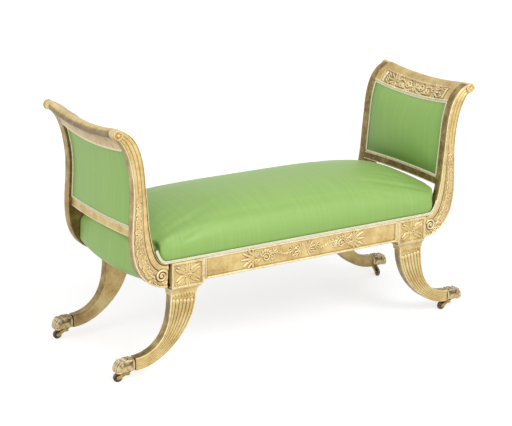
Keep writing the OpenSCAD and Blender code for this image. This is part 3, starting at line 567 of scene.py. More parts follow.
def gilding(name, worn, tone, soil):
    """The three browns are for wear and painted shade; tone darkens all of the leaf and soil its hollows."""
    finish, tree, shader, where = new_finish(name, Metallic=0.35, Specular_IOR_Level=0.45)
    hollow, bare = attribute(tree, "hollow"), attribute(tree, "bare")
    patch, grain = noise(tree, where, 17, 7, 0.62), noise(tree, where, 120, 5, 0.6)
    leaf = ramp(tree, patch, [(0.32, rgb(182, 146, 80)), (0.48, rgb(212, 180, 110)),
                              (0.66, rgb(232, 208, 144))])
    leaf = blend(tree, span(tree, grain, 0.38, 0.68, 0.0, 0.4), leaf, rgb(244, 226, 170))
    clay = ramp(tree, noise(tree, where, 40, 5, 0.6),
                [(0.35, rgb(190, 156, 114)), (0.65, rgb(226, 202, 166))])
    brown = ramp(tree, noise(tree, where, 34, 6, 0.65),
                 [(at, rgb(*shade)) for at, shade in zip((0.34, 0.52, 0.7), worn)])
    clay_share = times(tree, span(tree, bare, 0, 1), span(tree, patch, 0.25, 0.6, 0.95, 0.6))
    colour = blend(tree, clay_share, leaf, clay)
    # Below 0: a brown of wear, and painted shade on sides turned from the light.
    brown_share = times(tree, span(tree, bare, 0, -1), span(tree, patch, 0.3, 0.7, 1.0, 0.75))
    colour = blend(tree, brown_share, colour, brown)
    # Painted shade: below -1 the surface goes almost black brown.
    colour = blend(tree, span(tree, bare, -1, -2, 0, 0.85), colour, rgb(66, 46, 22))
    # Painted highlight and rubbed leaf: raised edges turn a pale cream.
    rub_and_highlight = times(tree, span(tree, hollow, -0.1, -0.8), span(tree, grain, 0.3, 0.6, 0.4, 1))
    colour = blend(tree, times(tree, rub_and_highlight, 0.8), colour, rgb(255, 242, 204))
    fleck = times(tree, span(tree, hollow, 0.2, -0.5),
                  span(tree, noise(tree, where, 46, 4), 0.6, 0.68))
    colour = blend(tree, times(tree, fleck, 0.55), colour, rgb(214, 160, 110))
    dirt = times(tree, span(tree, hollow, 0.08, 0.6), span(tree, grain, 0.25, 0.6, 0.6, 1.0))
    colour = blend(tree, math_node(tree, "ADD", times(tree, dirt, soil), tone),
                   colour, rgb(122, 90, 40))
    colour = blend(tree, span(tree, hollow, 0.62, 0.98, 0.0, 0.85), colour, rgb(70, 46, 14))
    tree.links.new(colour, shader.inputs["Base Color"])
    tree.links.new(span(tree, grain, 0.3, 0.7, 0.32, 0.5), shader.inputs["Roughness"])
    bump(tree, shader, noise(tree, where, 240, 4, 0.6), 0.0006, 0.5)
    return finish


gilt = gilding("gilding", frame_wear_and_shade_browns, tone=0.0, soil=0.5)
paw_gilt = gilding("gilding_paw", worn_paw, tone=0.24, soil=0.9)

# %% [markdown]
# ### Silk
# Slub silk has thick and thin threads, so it shows fine streaks along one way and
# glows towards grazing light. The streaks are noise squeezed along the threads. On
# the seat the threads run from front to back and down the front, and on the end
# panels they run up and down, so each piece has its own stretch. A value on each
# point paints shade: it darkens the silk where it is tucked into a corner, down
# behind the braid and near the ends of the seat.


# %% Silk
def silk(name, fine):
    """fine is the axis across the threads."""
    finish, tree, shader, where = new_finish(name, Roughness=0.44, Specular_IOR_Level=0.42,
                                             Sheen_Weight=0.22, Sheen_Roughness=0.35)
    shader.inputs["Sheen Tint"].default_value = rgb(226, 244, 190)

    def streaks(across, along, detail):
        stretch = [along] * 3
        stretch[fine] = across
        return noise(tree, where, 1.0, detail, 0.5, stretch)

    slub, thread, weave = streaks(95.0, 4.0, 3), streaks(420.0, 4.0, 2), streaks(1500.0, 60.0, 1)
    cloud = noise(tree, where, 5, 3, 0.5)
    colour = ramp(tree, slub, [(0.34, rgb(148, 188, 98)), (0.5, rgb(151, 190, 101)),
                               (0.66, rgb(155, 193, 105))])
    colour = blend(tree, span(tree, thread, 0.42, 0.62, 0.0, 0.16), colour, rgb(168, 203, 120))
    colour = blend(tree, span(tree, cloud, 0.35, 0.65, 0.0, 0.14), colour, rgb(138, 178, 94))
    # Painted shade: the value turns the silk towards a deep green.
    colour = blend(tree, attribute(tree, "bare"), colour, rgb(28, 62, 8))
    tree.links.new(colour, shader.inputs["Base Color"])
    height = math_node(tree, "ADD", times(tree, slub, 0.5),
                       math_node(tree, "ADD", times(tree, thread, 0.5), times(tree, weave, 0.4)))
    bump(tree, shader, height, 0.0008, 0.11)
    return finish


silk_seat = silk("silk_seat", 0)
silk_end = silk("silk_end", 1)


# %% Braid, brass, iron, wood, canvas and steel
def plain_finish(name, dark, light, scale, detail, stretch=None, **values):
    """One noise between two colours, which also makes the surface a little uneven."""
    finish, tree, shader, where = new_finish(name, **values)
    n = noise(tree, where, scale, detail, 0.6, stretch)
    colour = ramp(tree, n, [(0.3, rgb(*dark)), (0.7, rgb(*light))])
    tree.links.new(colour, shader.inputs["Base Color"])
    rough = values["Roughness"]
    tree.links.new(span(tree, n, 0.3, 0.7, rough - 0.08, rough + 0.12), shader.inputs["Roughness"])
    bump(tree, shader, n, 0.0004, 0.6)
    return finish


gimp = plain_finish("gimp", (212, 206, 166), (252, 248, 224), 420, 3, Roughness=0.6, Sheen_Weight=0.3)
brass = plain_finish("brass", (112, 88, 44), (216, 190, 122), 90, 6, Metallic=0.75, Roughness=0.36)
iron = plain_finish("wheel_iron", (34, 25, 20), (124, 104, 90), 110, 5, Metallic=0.55, Roughness=0.36)
beech = plain_finish("beech", (158, 118, 74), (206, 168, 118), 9, 6, (1.0, 9.0, 9.0), Roughness=0.6)
linen = plain_finish("linen", (118, 102, 74), (176, 158, 122), 500, 2, Roughness=0.85)
steel = plain_finish("screw_steel", (92, 90, 86), (164, 160, 152), 300, 4, Metallic=0.8, Roughness=0.4)
print(len(bpy.data.materials), "finishes")

# %% [markdown]
# ### Pieces that keep their CAD mesh
# The castors' forks, axles, wheels and plates and the hidden woodwork have the right
# shape already. They only change their finish.

# %% Finishes on carried-over nodes
kept = {brass: ["castor_plates"], iron: [], steel: ["brace_screws"],
        beech: ["cross_rail", "end_rail_left", "end_rail_right", "corner_braces", "leg_dowels"],
        linen: ["seat_webbing", "bottom_cloth", "panel_webbing_left", "panel_webbing_right"]}
for q in corners:
    kept[brass] += [f"castor_horn_{q}", f"castor_axle_{q}"]
    kept[iron] += [f"castor_wheel_{q}"]
for finish, names in kept.items():
    for name in names:
        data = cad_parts[name].data
        data.materials.clear()
        data.materials.append(finish)
print("kept", sum(len(n) for n in kept.values()), "nodes")

# %% [markdown]
# ## Bars that bend: the legs and the uprights
# A sabre leg and an S-shaped upright are the same kind of piece: a flat bar whose
# carved face follows a bent middle line. One helper sweeps a closed section along
# the line. Its face takes a depth for every point, so the reeds and leaves are part
# of the skin, and its other sides are plain with rounded corners.


# %% A bar with a carved face
bar_side_shares = (0.12, 0.3, 0.5, 0.7, 0.86, 0.95)
bar_back_shares = (0.93, 0.5, 0.0, -0.5, -0.93)
bar_edge, bar_chamfer = 1.6, 2.4


def bar(mid, across, width, y_face, thick, depth, bare_out, bare_in, bare_back, bare_face=0.0):
    """depth is taken off the face; the other values steer each side's colour: clay, wear and painted shade.
    """
    rows, n = depth.shape
    full = np.ones((rows, 1))
    half = width[:, None] / 2
    face_a = np.linspace(-0.5, 0.5, n) * width[:, None]
    side_a = [half - bar_chamfer * ease(k, 0.86, 1.0) for k in bar_side_shares]
    side_d = [full * thick * k for k in bar_side_shares]
    back_a, back_d = [half * k for k in bar_back_shares], [full * thick for k in bar_back_shares]
    a = np.concatenate([face_a, *side_a, *back_a, *[-v for v in side_a[::-1]]], 1)
    d = np.concatenate([depth + round_edge(half - np.abs(face_a), bar_edge),
                        *side_d, *back_d, *side_d[::-1]], 1)
    bare = np.r_[np.zeros(n), [bare_out] * len(side_a), [bare_back] * len(back_a),
                 [bare_in] * len(side_a)] * full
    bare[:, :n] = bare_face
    at = mid[:, None, :] + across[:, None, :] * a[..., None]
    shape = tube(np.stack([at[..., 0], -(y_face - d), at[..., 1]], -1), bare, 6)
    plain = np.ones(bare.shape, bool)
    plain[:, :n + 2] = plain[:, -2:] = False
    shape["hollow"][:-2][plain.ravel()] = 0
    return shape


def reeds(x, width, count):
    """Reeds side by side for x from 0 to 1: the place across each, -1 to 1, and one's width."""
    k = np.clip(x * count, 0, count - 1e-6)
    return 2 * (k - np.floor(k)) - 1, width / count


def face_of(shape, key, rows, cols):
    """The values of a bar's or a crest's carved face, to be changed in place."""
    return shape[key][:-2].reshape(rows, -1)[:, :cols]


# %% [markdown]
# ### Legs
# On the real leg the reeds begin in round ends under a plain band, lie between two
# narrow fillets, draw together down the curve and grow shallow above the paw. The
# grooves hold the dark toning, and the plain sides are brown, the back more so
# towards the paw.

# %% Leg face
leg_rows, leg_cols, leg_reeds, reed_top, border = 180, 85, 6, 30.0, 0.06
reed_deep_share, reed_end_share = 0.27, 0.7
t = np.linspace(0, 1, leg_rows)
leg_mid, leg_way = bezier(leg_line, t), unit(bezier_way(leg_line, t))
leg_across = np.c_[-leg_way[:, 1], leg_way[:, 0]]
fall = (leg_z0 - leg_mid[:, 1]) / (leg_z0 - leg_z1)
leg_w = mix(leg_end_w, leg_top_w, (1 + np.cos(np.pi * fall ** 1.2)) / 2)
leg_down = length_along(leg_mid)
share = np.linspace(-0.5, 0.5, leg_cols)[None] * np.ones((leg_rows, 1))
x = (share + 0.5 - border) / (1 - 2 * border)
inside = (x > 0) & (x < 1)
dx, reed_w = reeds(np.clip(x, 0, 1), leg_w[:, None] * (1 - 2 * border), leg_reeds)
v = leg_down[:, None]
dv = np.clip((reed_top + reed_w / 2 - v) / (reed_w / 2), 0, None)
lobe = np.sqrt(np.clip(1 - dx ** 2 - dv ** 2, 0, 1))
deep = reed_w * reed_deep_share * mix(1.0, reed_end_share, ease(v / leg_down[-1], 0.45, 0.97))
ground = np.where(v < reed_top, 0.85, 1.0)
leg_depth = np.where(inside, deep * np.minimum(1 - lobe, ground), 0.0) * ease(v, 0, 3)
print("reeds", round(float(reed_w[0, 0]), 1), "mm wide at the top and",
      round(float(reed_w[-1, 0]), 1), "mm at the paw")


# %% Moulded cap: a profile carried round the top of the leg with mitred corners
cap_long, cap_short, cap_flare = 16, 8, 2.5


def moulding(x0, x1, y0, y1, profile):
    """Rings of (out, z) round a box; towards the middle of the seat they flare more."""
    rings = []
    for out, z in profile:
        a, b = x0 - cap_flare * max(out, 0) - min(out, 0), x1 + out
        c, e = y0 - out, y1 + out
        xs = np.r_[np.linspace(a, b, cap_long), np.full(cap_short, b),
                   np.linspace(b, a, cap_long), np.full(cap_short, a)]
        ys = np.r_[np.full(cap_long, c), np.linspace(c, e, cap_short),
                   np.full(cap_long, e), np.linspace(e, c, cap_short)]
        rings.append(np.stack([xs, ys, np.full(len(xs), z)], -1))
    return tube(np.array(rings), 0.0, 3)


cap_profile = [(-3, -12.4), (0.2, -12.4), (1.1, -11.2), (1.1, -10.2), (0.6, -9.3)]
for k in np.linspace(0, math.pi / 2, 10):
    cap_profile.append((0.6 + 5.0 * (1 - math.cos(k)), -9 + 16.5 * math.sin(k) ** 0.9))
cap_profile += [(6.0, 8.4), (6.0, 10.6), (5.2, 11.4), (-1, 11.4), (-1, 14)]
cap = moulding(leg_x0 - leg_top_w / 2, leg_x0 + leg_top_w / 2, -leg_y, -leg_y + leg_t,
               [(out, leg_z0 + up) for out, up in cap_profile])
print("cap", len(cap["quads"]), "faces")

# %% Legs
leg_bar = bar(leg_mid, leg_across, leg_w, leg_y, leg_t, leg_depth, -0.9, -0.75, -0.05)
groove = 0.65 * ease(np.abs(dx), 0.55, 1.0) * inside * (v > reed_top + 12)
seen = face_of(leg_bar, "hollow", leg_rows, leg_cols)
seen += groove
back_from = leg_cols + len(bar_side_shares)
leg_back = face_of(leg_bar, "bare", leg_rows, back_from + len(bar_back_shares))[:, back_from:]
leg_back -= 0.6 * ease(v / leg_down[-1], 0.55, 1)
leg = joined(leg_bar, cap)
at_corners("reeded_leg", leg, gilt, "giltwood", "leg")
print("leg", len(leg["quads"]), "faces, line", round(leg_down[-1]), "mm")

# %% [markdown]
# ### Uprights
# Three reeds run from the waist up to the roll. Below the waist one reed goes on
# along the inner edge, and beside it husks come down on a sunk ground where the clay
# shows. They open into leaves, and the foot is a raised scroll. The scroll is drawn
# in the plane of the face, and the husks along the bent line.

# %% Upright: the grid of its face
stile_l = np.concatenate([np.arange(0, 270, 1.3), np.arange(270, stile_len - 1, 2.3), [stile_len]])
stile_p, stile_cols, stile_border = p_at_length(stile_l), 61, 3.0
stile_mid, stile_side, stile_wide = line_at(stile_p), line_out(stile_p), stile_w(stile_p)
share = np.linspace(-0.5, 0.5, stile_cols)[None] * np.ones((len(stile_l), 1))
width = stile_wide[:, None]
A, L = share * width, stile_l[:, None] + 0 * share
XZ = stile_mid[:, None] + stile_side[:, None] * A[..., None]
x = (A + width / 2 - stile_border) / (width - 2 * stile_border)
inside = (x > 0) & (x < 1)
dx, reed_w = reeds(np.clip(x, 0, 1), width - 2 * stile_border, 3)
reeded = reed_w * 0.3 * (1 - np.sqrt(np.clip(1 - dx ** 2, 0, 1)))
print("upright face", A.shape, "points")


# %% Upright: husks, leaves and drilled holes
def zone_at(l):
    """Middle and half width of the carved part, which takes the outer two reeds."""
    w = float(stile_w(p_at_length(l))) - 2 * stile_border
    return w / 6, w / 3


husk_from, husk_to, husk_thin, husk_petals = 58.0, 330, 230, ((0.2, 1.2), (0.62, 1.12), (1.15, 0.95))
husks, l, k = [], husk_from, 0
while l < husk_to:
    mid, half = zone_at(l)
    half *= 1.0 - 0.25 * float(ease(l, husk_thin, husk_to))
    for turn, reach in husk_petals:
        for s in (-1, 1):
            husks.append(petal(l, mid, s * turn + 0.12 * (-1) ** k, 2, half * reach, half * 0.17, 3.2,
                               -0.55 * s * turn))
    husks.append(np.array([[l - half * 0.2, mid, half * 0.2, 3.4], [l + half * 0.35, mid, half * 0.14, 3.6]]))
    l, k = l + half * 0.82, k + 1
husks += palmette(54, 22, math.radians(150), 24, 2.6, 5, 2.8)
husks += palmette(24, 31, math.radians(170), 20, 2.2, 5, 2.2)
husks += stem([[16, 34], [30, 34], [44, 34], [60, 31]], 1.8, 2.2, 4, 7)
holes = []
for i in range(24):
    at = 32 + 12 * i + 5 * math.sin(5.1 * i)
    mid, half = zone_at(at)
    holes.append(dot(at, mid + half * (0.55 * math.sin(2.4 * i) - 0.15),
                     1.7 + 0.9 * (i * 7 % 5) / 4, 1.2 + 0.8 * (i % 4)))
print(k, "husks and", len(holes), "holes")

# %% Upright: depth of the face
volute, volute_r, volute_zone = (block_out + 31, foot_z + 3), 20, 24
inner_reed, sunk, joint = 0.34, 2.6, 7.6
near_scroll = np.hypot(XZ[..., 0] - volute[0], XZ[..., 1] - volute[1])
foot = carve(XZ[..., 0], XZ[..., 1], scroll(*volute, volute_r, 1.6, math.radians(150), -1, 4.6, 5.6))
raised = np.where(near_scroll < volute_zone, 0, carve(L, A, husks))
ground = sunk * ease(x, 0.335, 0.36) * ease(1 - x, 0, 0.05)
low = (np.where(inside, np.where(x < inner_reed, reeded, ground), 0.0)
       - np.where(x > inner_reed, raised - carve(L, A, holes), 0))
low = np.where(near_scroll < volute_zone, sunk * ease(volute_zone - near_scroll, 0, 1.5) - foot, low)
low = mix(12.0, low, ease(L, joint - 0.8, joint + 0.8))
upper = ease(stile_p, 1.12, 1.3)[:, None]
stile_depth = low * (1 - upper) + np.where(inside, reeded, 0) * upper
print("carving stands", round(float(raised.max()), 1), "mm above its ground")


# %% Upright with the disc that ends the roll
def turns(n):
    """n even turns of a circle, from 0."""
    return np.linspace(0, 2 * np.pi, n + 1)[:-1]


disc_r = np.array([8, 13.6, 14.6, 15, 15, 14.6, 13.6, 8])
disc_y = np.array([0, 0, 0.4, 1.4, stile_t - 1.4, stile_t - 0.4, stile_t, stile_t])
turn = turns(48)
disc = np.stack([roll_x + disc_r[:, None] * np.cos(turn), -span_y - 1 - disc_y[:, None] + 0 * turn,
                 roll_z + disc_r[:, None] * np.sin(turn)], -1)
clay = (0.6 * (x > 0.36) * (1 - upper) * (1 - np.clip(raised / 1.5, 0, 1))
        * (near_scroll > volute_zone))
# Sides: the outer one brown, the inner one darker and the back almost black, as painted shade over wear. The
# joint at the foot is painted dark as shadow.
body = bar(stile_mid, stile_side, stile_wide, stile_y, stile_t, stile_depth, -0.7, -1.0, -1.5,
           np.where(L < joint, -1.0, clay))
seen = face_of(body, "hollow", len(stile_l), stile_cols)
seen *= mix(1.35, 1.0, upper)
seen += 0.35 * ease(np.abs(dx), 0.55, 1.0) * inside * np.maximum(upper, x < 0.36)
# Painted shadow: the joint against the block is set fully hollow, so it goes darkest.
seen[stile_l < joint - 0.5] = 1.0
stile = joined(body, tube(disc, 0.2, 2))
at_corners("scrolled_upright", stile, gilt, "giltwood", "stile")
print("upright", len(stile["quads"]), "faces")

# %% [markdown]
# ## Carved boards: the corner blocks and the long rails
# A board is a grid over its face with a depth at every point, walls round its edge
# and a plain back. The block has a raised border round a flower that fills the
# sunk panel. The rail has an upright fillet at each end, a bead along its foot, and
# palmettes joined by leafy stems to a small flower in the middle.


# %% A board with a carved face
def board(x0, x1, z0, z1, y_face, y_back, depth, clay=None, step=1.0):
    """depth(X, Z) is taken off the face, and clay(X, Z) is its bare value."""
    nx, nz = int((x1 - x0) / step) + 1, int((z1 - z0) / step) + 1
    X, Z = np.meshgrid(np.linspace(x0, x1, nx), np.linspace(z0, z1, nz), indexing="ij")
    front = np.stack([X, -(y_face - depth(X, Z)), Z], -1).reshape(-1, 3)
    i = np.arange(nx * nz).reshape(nx, nz)
    rim = np.concatenate([i[:-1, 0], i[-1, :-1], i[:0:-1, -1], i[0, :0:-1]])
    start, m = nx * nz, len(rim)
    loops = [front]
    for y in (y_face - 4, y_back):
        loops.append(np.stack([front[rim, 0], np.full(m, -float(y)), front[rim, 2]], -1))
    loops.append([[(x0 + x1) / 2, -y_back, (z0 + z1) / 2]])
    j, k = np.arange(m), (np.arange(m) + 1) % m
    quads = np.concatenate([grid_faces(nx, nz, False, False),
                            np.stack([rim[k], rim[j], start + j, start + k], -1),
                            np.stack([start + k, start + j, start + m + j, start + m + k], -1)])
    tris = np.stack([start + m + k, start + m + j, np.full(m, start + 2 * m)], -1)
    bare = clay(X, Z).ravel() if clay else np.zeros(nx * nz)
    return shape_of(np.concatenate(loops), quads, tris, np.r_[bare, np.zeros(2 * m + 1)])


# %% Corner blocks
def block_depth(X, Z):
    """A raised line round a sunk panel, with a flower and a small palmette in each corner."""
    u, w = X - (block_in + block_out) / 2, Z - (block_z + rail_top) / 2
    d = np.minimum(block_w / 2 - np.abs(u), block_h / 2 - np.abs(w))
    H = (round_edge(d, 1.6) + 0.9 * ease(d, 2.6, 3.4) * (1 - ease(d, 4.0, 4.8))
         + 3.4 * ease(d, 6.0, 8.0))
    strokes, panel_u, panel_w = [], block_w / 2 - 8, block_h / 2 - 8
    for k in range(12):
        a = 2 * math.pi * (k + 0.5) / 12
        reach = min(0.94 / max(abs(math.cos(a)) / panel_u, abs(math.sin(a)) / panel_w), 44)
        strokes.append(petal(0, 0, a, 8, reach, 3.2 + reach * 0.07, 4.2, 0.16 * (-1) ** k))
    strokes += flower(0, 0, 12, 6, 4.2)
    for sx in (-1, 1):
        for sz in (-1, 1):
            strokes += palmette(sx * 46, sz * 31, math.atan2(-sz * 26, -sx * 44), 15, 1.9, 5, 2.4)
    holes = [dot(19 * math.cos(k * math.pi / 3), 14 * math.sin(k * math.pi / 3), 2.2, 3.0)
             for k in range(6)]
    return H - carve(u, w, strokes) + carve(u, w, holes)


block = board(block_in, block_out, block_z, rail_top, block_face, block_back, block_depth, step=0.9)
at_corners("flower_block", block, gilt, "giltwood", "corner_block")
print("block", len(block["quads"]), "faces")


# %% Long rails: the ornament of the right half, from the middle of the rail outwards
bead_r, fillet_w, rail_edge, rail_mid_up = 4.2, 12.6, 1.2, 39
eye_u, eye_w, eye_r = 150, -4, 17
ornament = palmette(8, -2, 0.3, 34, 2.0, 7, 3.4) + palmette(40, 4, 0.1, 24, 1.6, 5, 3.2)
ornament += [petal(48, 0, 2.6, 0, 22, 3.4, 2.8), petal(30, -12, -0.2, 0, 18, 3.0, 2.8)]
ornament += stem([[122, 4], [104, 17], [82, -17], [58, 1]], 2.2, 2.4, 7, 11)
ornament += palmette(188, 0, 0.0, 56, 1.75, 7, 3.8) + palmette(190, 0, 0.0, 30, 2.3, 6, 4.2)
ornament += palmette(186, 0, 1.35, 24, 0.7, 3, 3.2) + palmette(186, 0, -1.35, 24, 0.7, 3, 3.2)
for sz in (-1, 1):
    ornament += scroll(190, sz * 11, 7, 1.3, math.radians(sz * 100), sz, 2.6, 3.6)
ornament += scroll(eye_u, eye_w, 15, 1.5, math.radians(20), 1, 3.4, 3.6)
ornament += [petal(eye_u, eye_w, 0.15 + 0.42 * k, 12, 27, 4.0, 3.6, 0.5) for k in range(8)]
ornament += [petal(172, sz * 6, sz * 0.5, 0, 15, 3.0, 3.2) for sz in (-1, 1)]
ornament += palmette(128, 6, 2.6, 22, 1.8, 5, 3.0)
ornament += [petal(132, -16, 2.9 - 0.4 * k, 0, 18, 3.0, 2.8) for k in range(3)]
drilled = [dot(eye_u + eye_r * math.cos(0.36 + 0.42 * k), eye_w + eye_r * math.sin(0.36 + 0.42 * k),
               2.1, 3.6) for k in range(8)]
drilled += [dot(u, w, 1.9, 3.0) for u, w in
            ((206, 12), (206, -12), (222, 6), (222, -6), (26, 8), (26, -9), (58, 9))]
print(2 * len(ornament), "strokes and", 2 * len(drilled), "holes on a rail")


# %% Long rails
def rail_depth(X, Z):
    """A bead along the foot, a sunk ground under the ornament and a fillet at each end."""
    half, ground_z = rail_len / 2, rail_z + 2 * bead_r
    bead = bead_r * np.sqrt(np.clip(1 - ((Z - rail_z - bead_r) / bead_r) ** 2, 0, 1))
    H = np.where(Z < ground_z, 1.2 - bead, 0)
    H += 1.6 * ease(Z, ground_z, ground_z + 1) * (1 - ease(Z, rail_top - 6, rail_top - 5))
    H += round_edge(rail_top - Z, 1.4)
    w = Z - (rail_z + rail_mid_up)
    H -= (carve(X, w, mirrored(ornament)) - carve(X, w, mirrored(drilled))) * (Z > rail_z + 9)
    end = ease(np.abs(X), half - fillet_w - 1, half - fillet_w)
    flat = round_edge(np.minimum(half - np.abs(X), np.minimum(Z - rail_z, rail_top - Z)), rail_edge) - 2.5
    return mix(H, flat, end)


def rail_clay(X, Z):
    """The top edge and the foot of the bead show some clay."""
    return 0.6 * ease(Z, rail_top - 8, rail_top - 6) + 0.35 * ease(Z, rail_z + 6, rail_z)


rail = board(-rail_len / 2, rail_len / 2, rail_z, rail_top, rail_y, rail_y - rail_t, rail_depth,
             rail_clay, 1.2)
for name, back in (("front", 0), ("back", 1)):
    place(new_mesh(f"carved_rail_{name}", cornered(rail, 0, back), gilt), "giltwood", f"{name}_rail")
print("rail", len(rail["quads"]), "faces")

# %% [markdown]
# ## The crest and the lower rail of an end
# The crest is one curved board with its roll, and it dips in the middle. Its inner
# face is a frieze between two upright fillets, with a flower, scrolls and leaves.
# The ring of points goes up the inner face, over the roll, down the outer face,
# where the clay shows, and back underneath. The under side of the roll, and a line
# where the roll meets the outer face, are painted dark as shade.

# %% Crest: carving of the frieze
crest_n, roll_n, back_n, under_n = 46, 44, 19, 7
ys = np.linspace(-span_y, span_y, 340)
p_in = np.linspace(p_crest, 2, crest_n)
U, V = np.meshgrid(ys, length_at(p_in) - length_at(p_crest), indexing="ij")
part = scroll(36, 25, 14, 1.5, math.radians(190), -1, 3.0, 3.2)
part += stem([[14, 14], [26, 4], [44, 4], [60, 16]], 2.4, 2.6, 4, 12)
part += scroll(74, 20, 11, 1.4, math.radians(150), 1, 2.6, 3.0)
part += stem([[60, 30], [72, 42], [86, 38], [96, 28]], 2.2, 2.6, 4, 10)
part += palmette(102, 24, 0.0, 42, 2.7, 9, 3.6) + palmette(110, 24, math.pi, 20, 2.4, 5, 2.8)
part += [petal(140, 8 + 8 * k, 0.5, 1, 19, 3.2, 3.4) for k in range(4)]
holes = [dot(12 * k + 5 * math.sin(3.7 * k), 10 + 4 * math.sin(2.3 * k),
             1.8 + 0.5 * math.sin(1.9 * k), 2.5) for k in range(14)]
holes += [dot(9 + 17 * k, 37 - 3 * (k % 2), 1.7, 2.2) for k in range(10)]
frieze = 2.0 * ease(V, 3.5, 6) * (1 - ease(V, 42, 47)) * (1 - ease(np.abs(U), 178, 181))
frieze += carve(U, V, mirrored(holes)) - carve(U, V, flower(0, 24, 15, 8, 3.2) + mirrored(part))
fillet = ease(np.abs(U), 164, 165.5) * (1 - ease(np.abs(U), 171.5, 173))
frieze = mix(frieze, -1.6, fillet * ease(V, 5, 7) * (1 - ease(V, 41, 44)))
frieze *= 1 - ease(V, 46, 52)
print("frieze", frieze.shape, "points")

# %% Crest: the rings of points
y = ys[:, None]
angle = np.radians(np.linspace(100, -120, roll_n + 1)[1:])
roll_ring = np.stack([roll_r * np.cos(angle), 0 * angle, roll_r * np.sin(angle)], -1)
p_out = np.linspace(2, p_crest, back_n + 1)[1:]
under = np.linspace(0.5, -0.5, under_n + 2)[1:-1]
rows = [end_point(p_in, frieze - stile_w(p_in) / 2, y),
        end_point(2.0, 0.0, ys)[:, None] + roll_ring,
        end_point(p_out, stile_w(p_out) / 2, y),
        end_point(p_crest, stile_w(p_crest) * under, y)]
# Painted shade: the under side of the roll goes almost black brown.
painted_roll_shade = np.interp(np.degrees(angle), [-120, -45, 15, 48], [-1.8, -1.8, -1.2, 0])
bare = np.r_[np.full(crest_n, -0.22), painted_roll_shade, np.full(back_n, 0.95), np.full(under_n, 0.3)]
crest = tube(np.concatenate(rows, 1), bare[None], 7)
seen = face_of(crest, "hollow", len(ys), None)
seen[:, :crest_n] *= 1.35
# Painted shade: a dark line where the roll meets the outer face.
seen[:, crest_n + roll_n - 5:crest_n + roll_n + 3] = [0.1, 0.3, 0.55, 0.7, 0.7, 0.5, 0.3, 0.1]
at_ends("carved_crest", crest, gilt, "giltwood", "crest_rail")
print("crest", len(crest["quads"]), "faces")

# %% Lower cross rails
lower_n, lower_y, lower_round, lower_inset = 20, 90, 2.0, 12
ps = np.linspace(p_cross0, p_cross1, lower_n)
y = np.linspace(-span_y, span_y, lower_y)[:, None]
up = length_at(ps) - length_at(p_cross0)
from_edge = np.minimum(up, up[-1] - up)
sink = round_edge(from_edge, lower_round) + ease(from_edge, 3.4, 4.2)
inner = end_point(ps, 1 + sink - stile_w(ps) / 2, y)
outer = end_point(ps, stile_w(ps) / 2 - lower_inset - sink, y)[:, ::-1]
# The inner side is painted dark brown, as wear and painted shade; the outer side a little brown.
lower = tube(np.concatenate([inner, outer], 1),
             np.r_[np.full(lower_n, -1.4), np.full(lower_n, -0.15)][None], 4)
at_ends("bowed_rail", lower, gilt, "giltwood", "lower_rail")
print("lower rail", round(up[-1]), "mm high")

# %% [markdown]
# ## Lion paws
# A cast paw has a smooth ankle, four toes with two knuckles each, and claws. Toes
# are awkward to draw as one grid, so the paw is built like a clay sketch: rings for
# the ankle, egg shapes for the knuckles, cones for the claws. A voxel remesh then
# melts them into one skin, and a few smoothing passes round the joints. The ankle
# starts in a seam under the leg that is painted dark as shade, and the top of the
# paw is the darkest part.


# %% Eggs and cones
def egg_rings(rx, ry, rz, along, around, cut):
    """Rings of an egg about the origin; cut is the angle left open at each end."""
    a, b = np.meshgrid(np.linspace(cut, np.pi - cut, along), turns(around), indexing="ij")
    return np.stack([rx * np.cos(a), ry * np.sin(a) * np.cos(b), rz * np.sin(a) * np.sin(b)], -1)


def egg(cx, cy, cz, rx, ry, rz, lean=0.0):
    """An egg about a centre, turned up or down by its lean."""
    x, y, z = np.moveaxis(egg_rings(rx, ry, rz, 14, 24, 0.06), -1, 0)
    c, s = math.cos(lean), math.sin(lean)
    return tube(np.stack([cx + x * c - z * s, cy + y, cz + x * s + z * c], -1), 0.0, 0)


def claw(points, radii):
    """A bent cone that is a little higher than it is wide."""
    c, t, b = np.asarray(points, float), np.linspace(0, 1, 9), turns(16)[:, None]
    w = unit(bezier_way(c, t))
    up = np.stack([-w[:, 2], 0 * t, w[:, 0]], -1)[:, None]
    section = up * np.sin(b) * 1.3 + np.array([0, 1, 0]) * np.cos(b)
    return tube(bezier(c, t)[:, None] + mix(radii[0], radii[1], t)[:, None, None] * section, 0.0, 0)


# %% Reading a finished mesh, and melting shapes into one
def final_of(piece):
    """The piece as its modifiers leave it."""
    return piece.evaluated_get(bpy.context.evaluated_depsgraph_get())


def coords(mesh, scale=1.0):
    """The mesh's points, times a scale."""
    flat = np.zeros(len(mesh.vertices) * 3)
    mesh.vertices.foreach_get("co", flat)
    return flat.reshape(-1, 3) * scale


def remeshed(shape, size, rounds):
    """One skin over overlapping shapes, as points and faces."""
    rough = new_mesh("sketch", shape, brass, 0)
    tool = rough.modifiers.new("melt", "REMESH")
    tool.mode, tool.voxel_size = "VOXEL", size / 1000
    mesh = bpy.data.meshes.new_from_object(final_of(rough))
    pts = coords(mesh, 1000)
    quads, tris = (np.array([tuple(f.vertices) for f in mesh.polygons if len(f.vertices) == n],
                            int).reshape(-1, n) for n in (4, 3))
    pairs, count = sides_of(quads, len(pts))
    for _ in range(rounds):
        pts = pts * 0.5 + evened(pts, pairs, count) * 0.5
    bpy.data.objects.remove(rough)
    bpy.data.meshes.remove(mesh)
    return pts, quads, tris


# %% One paw, from the leg joint outwards
def squared(values):
    """Pulls a circle's sines or cosines towards a rounded square."""
    return np.sign(values) * np.abs(values) ** 0.7


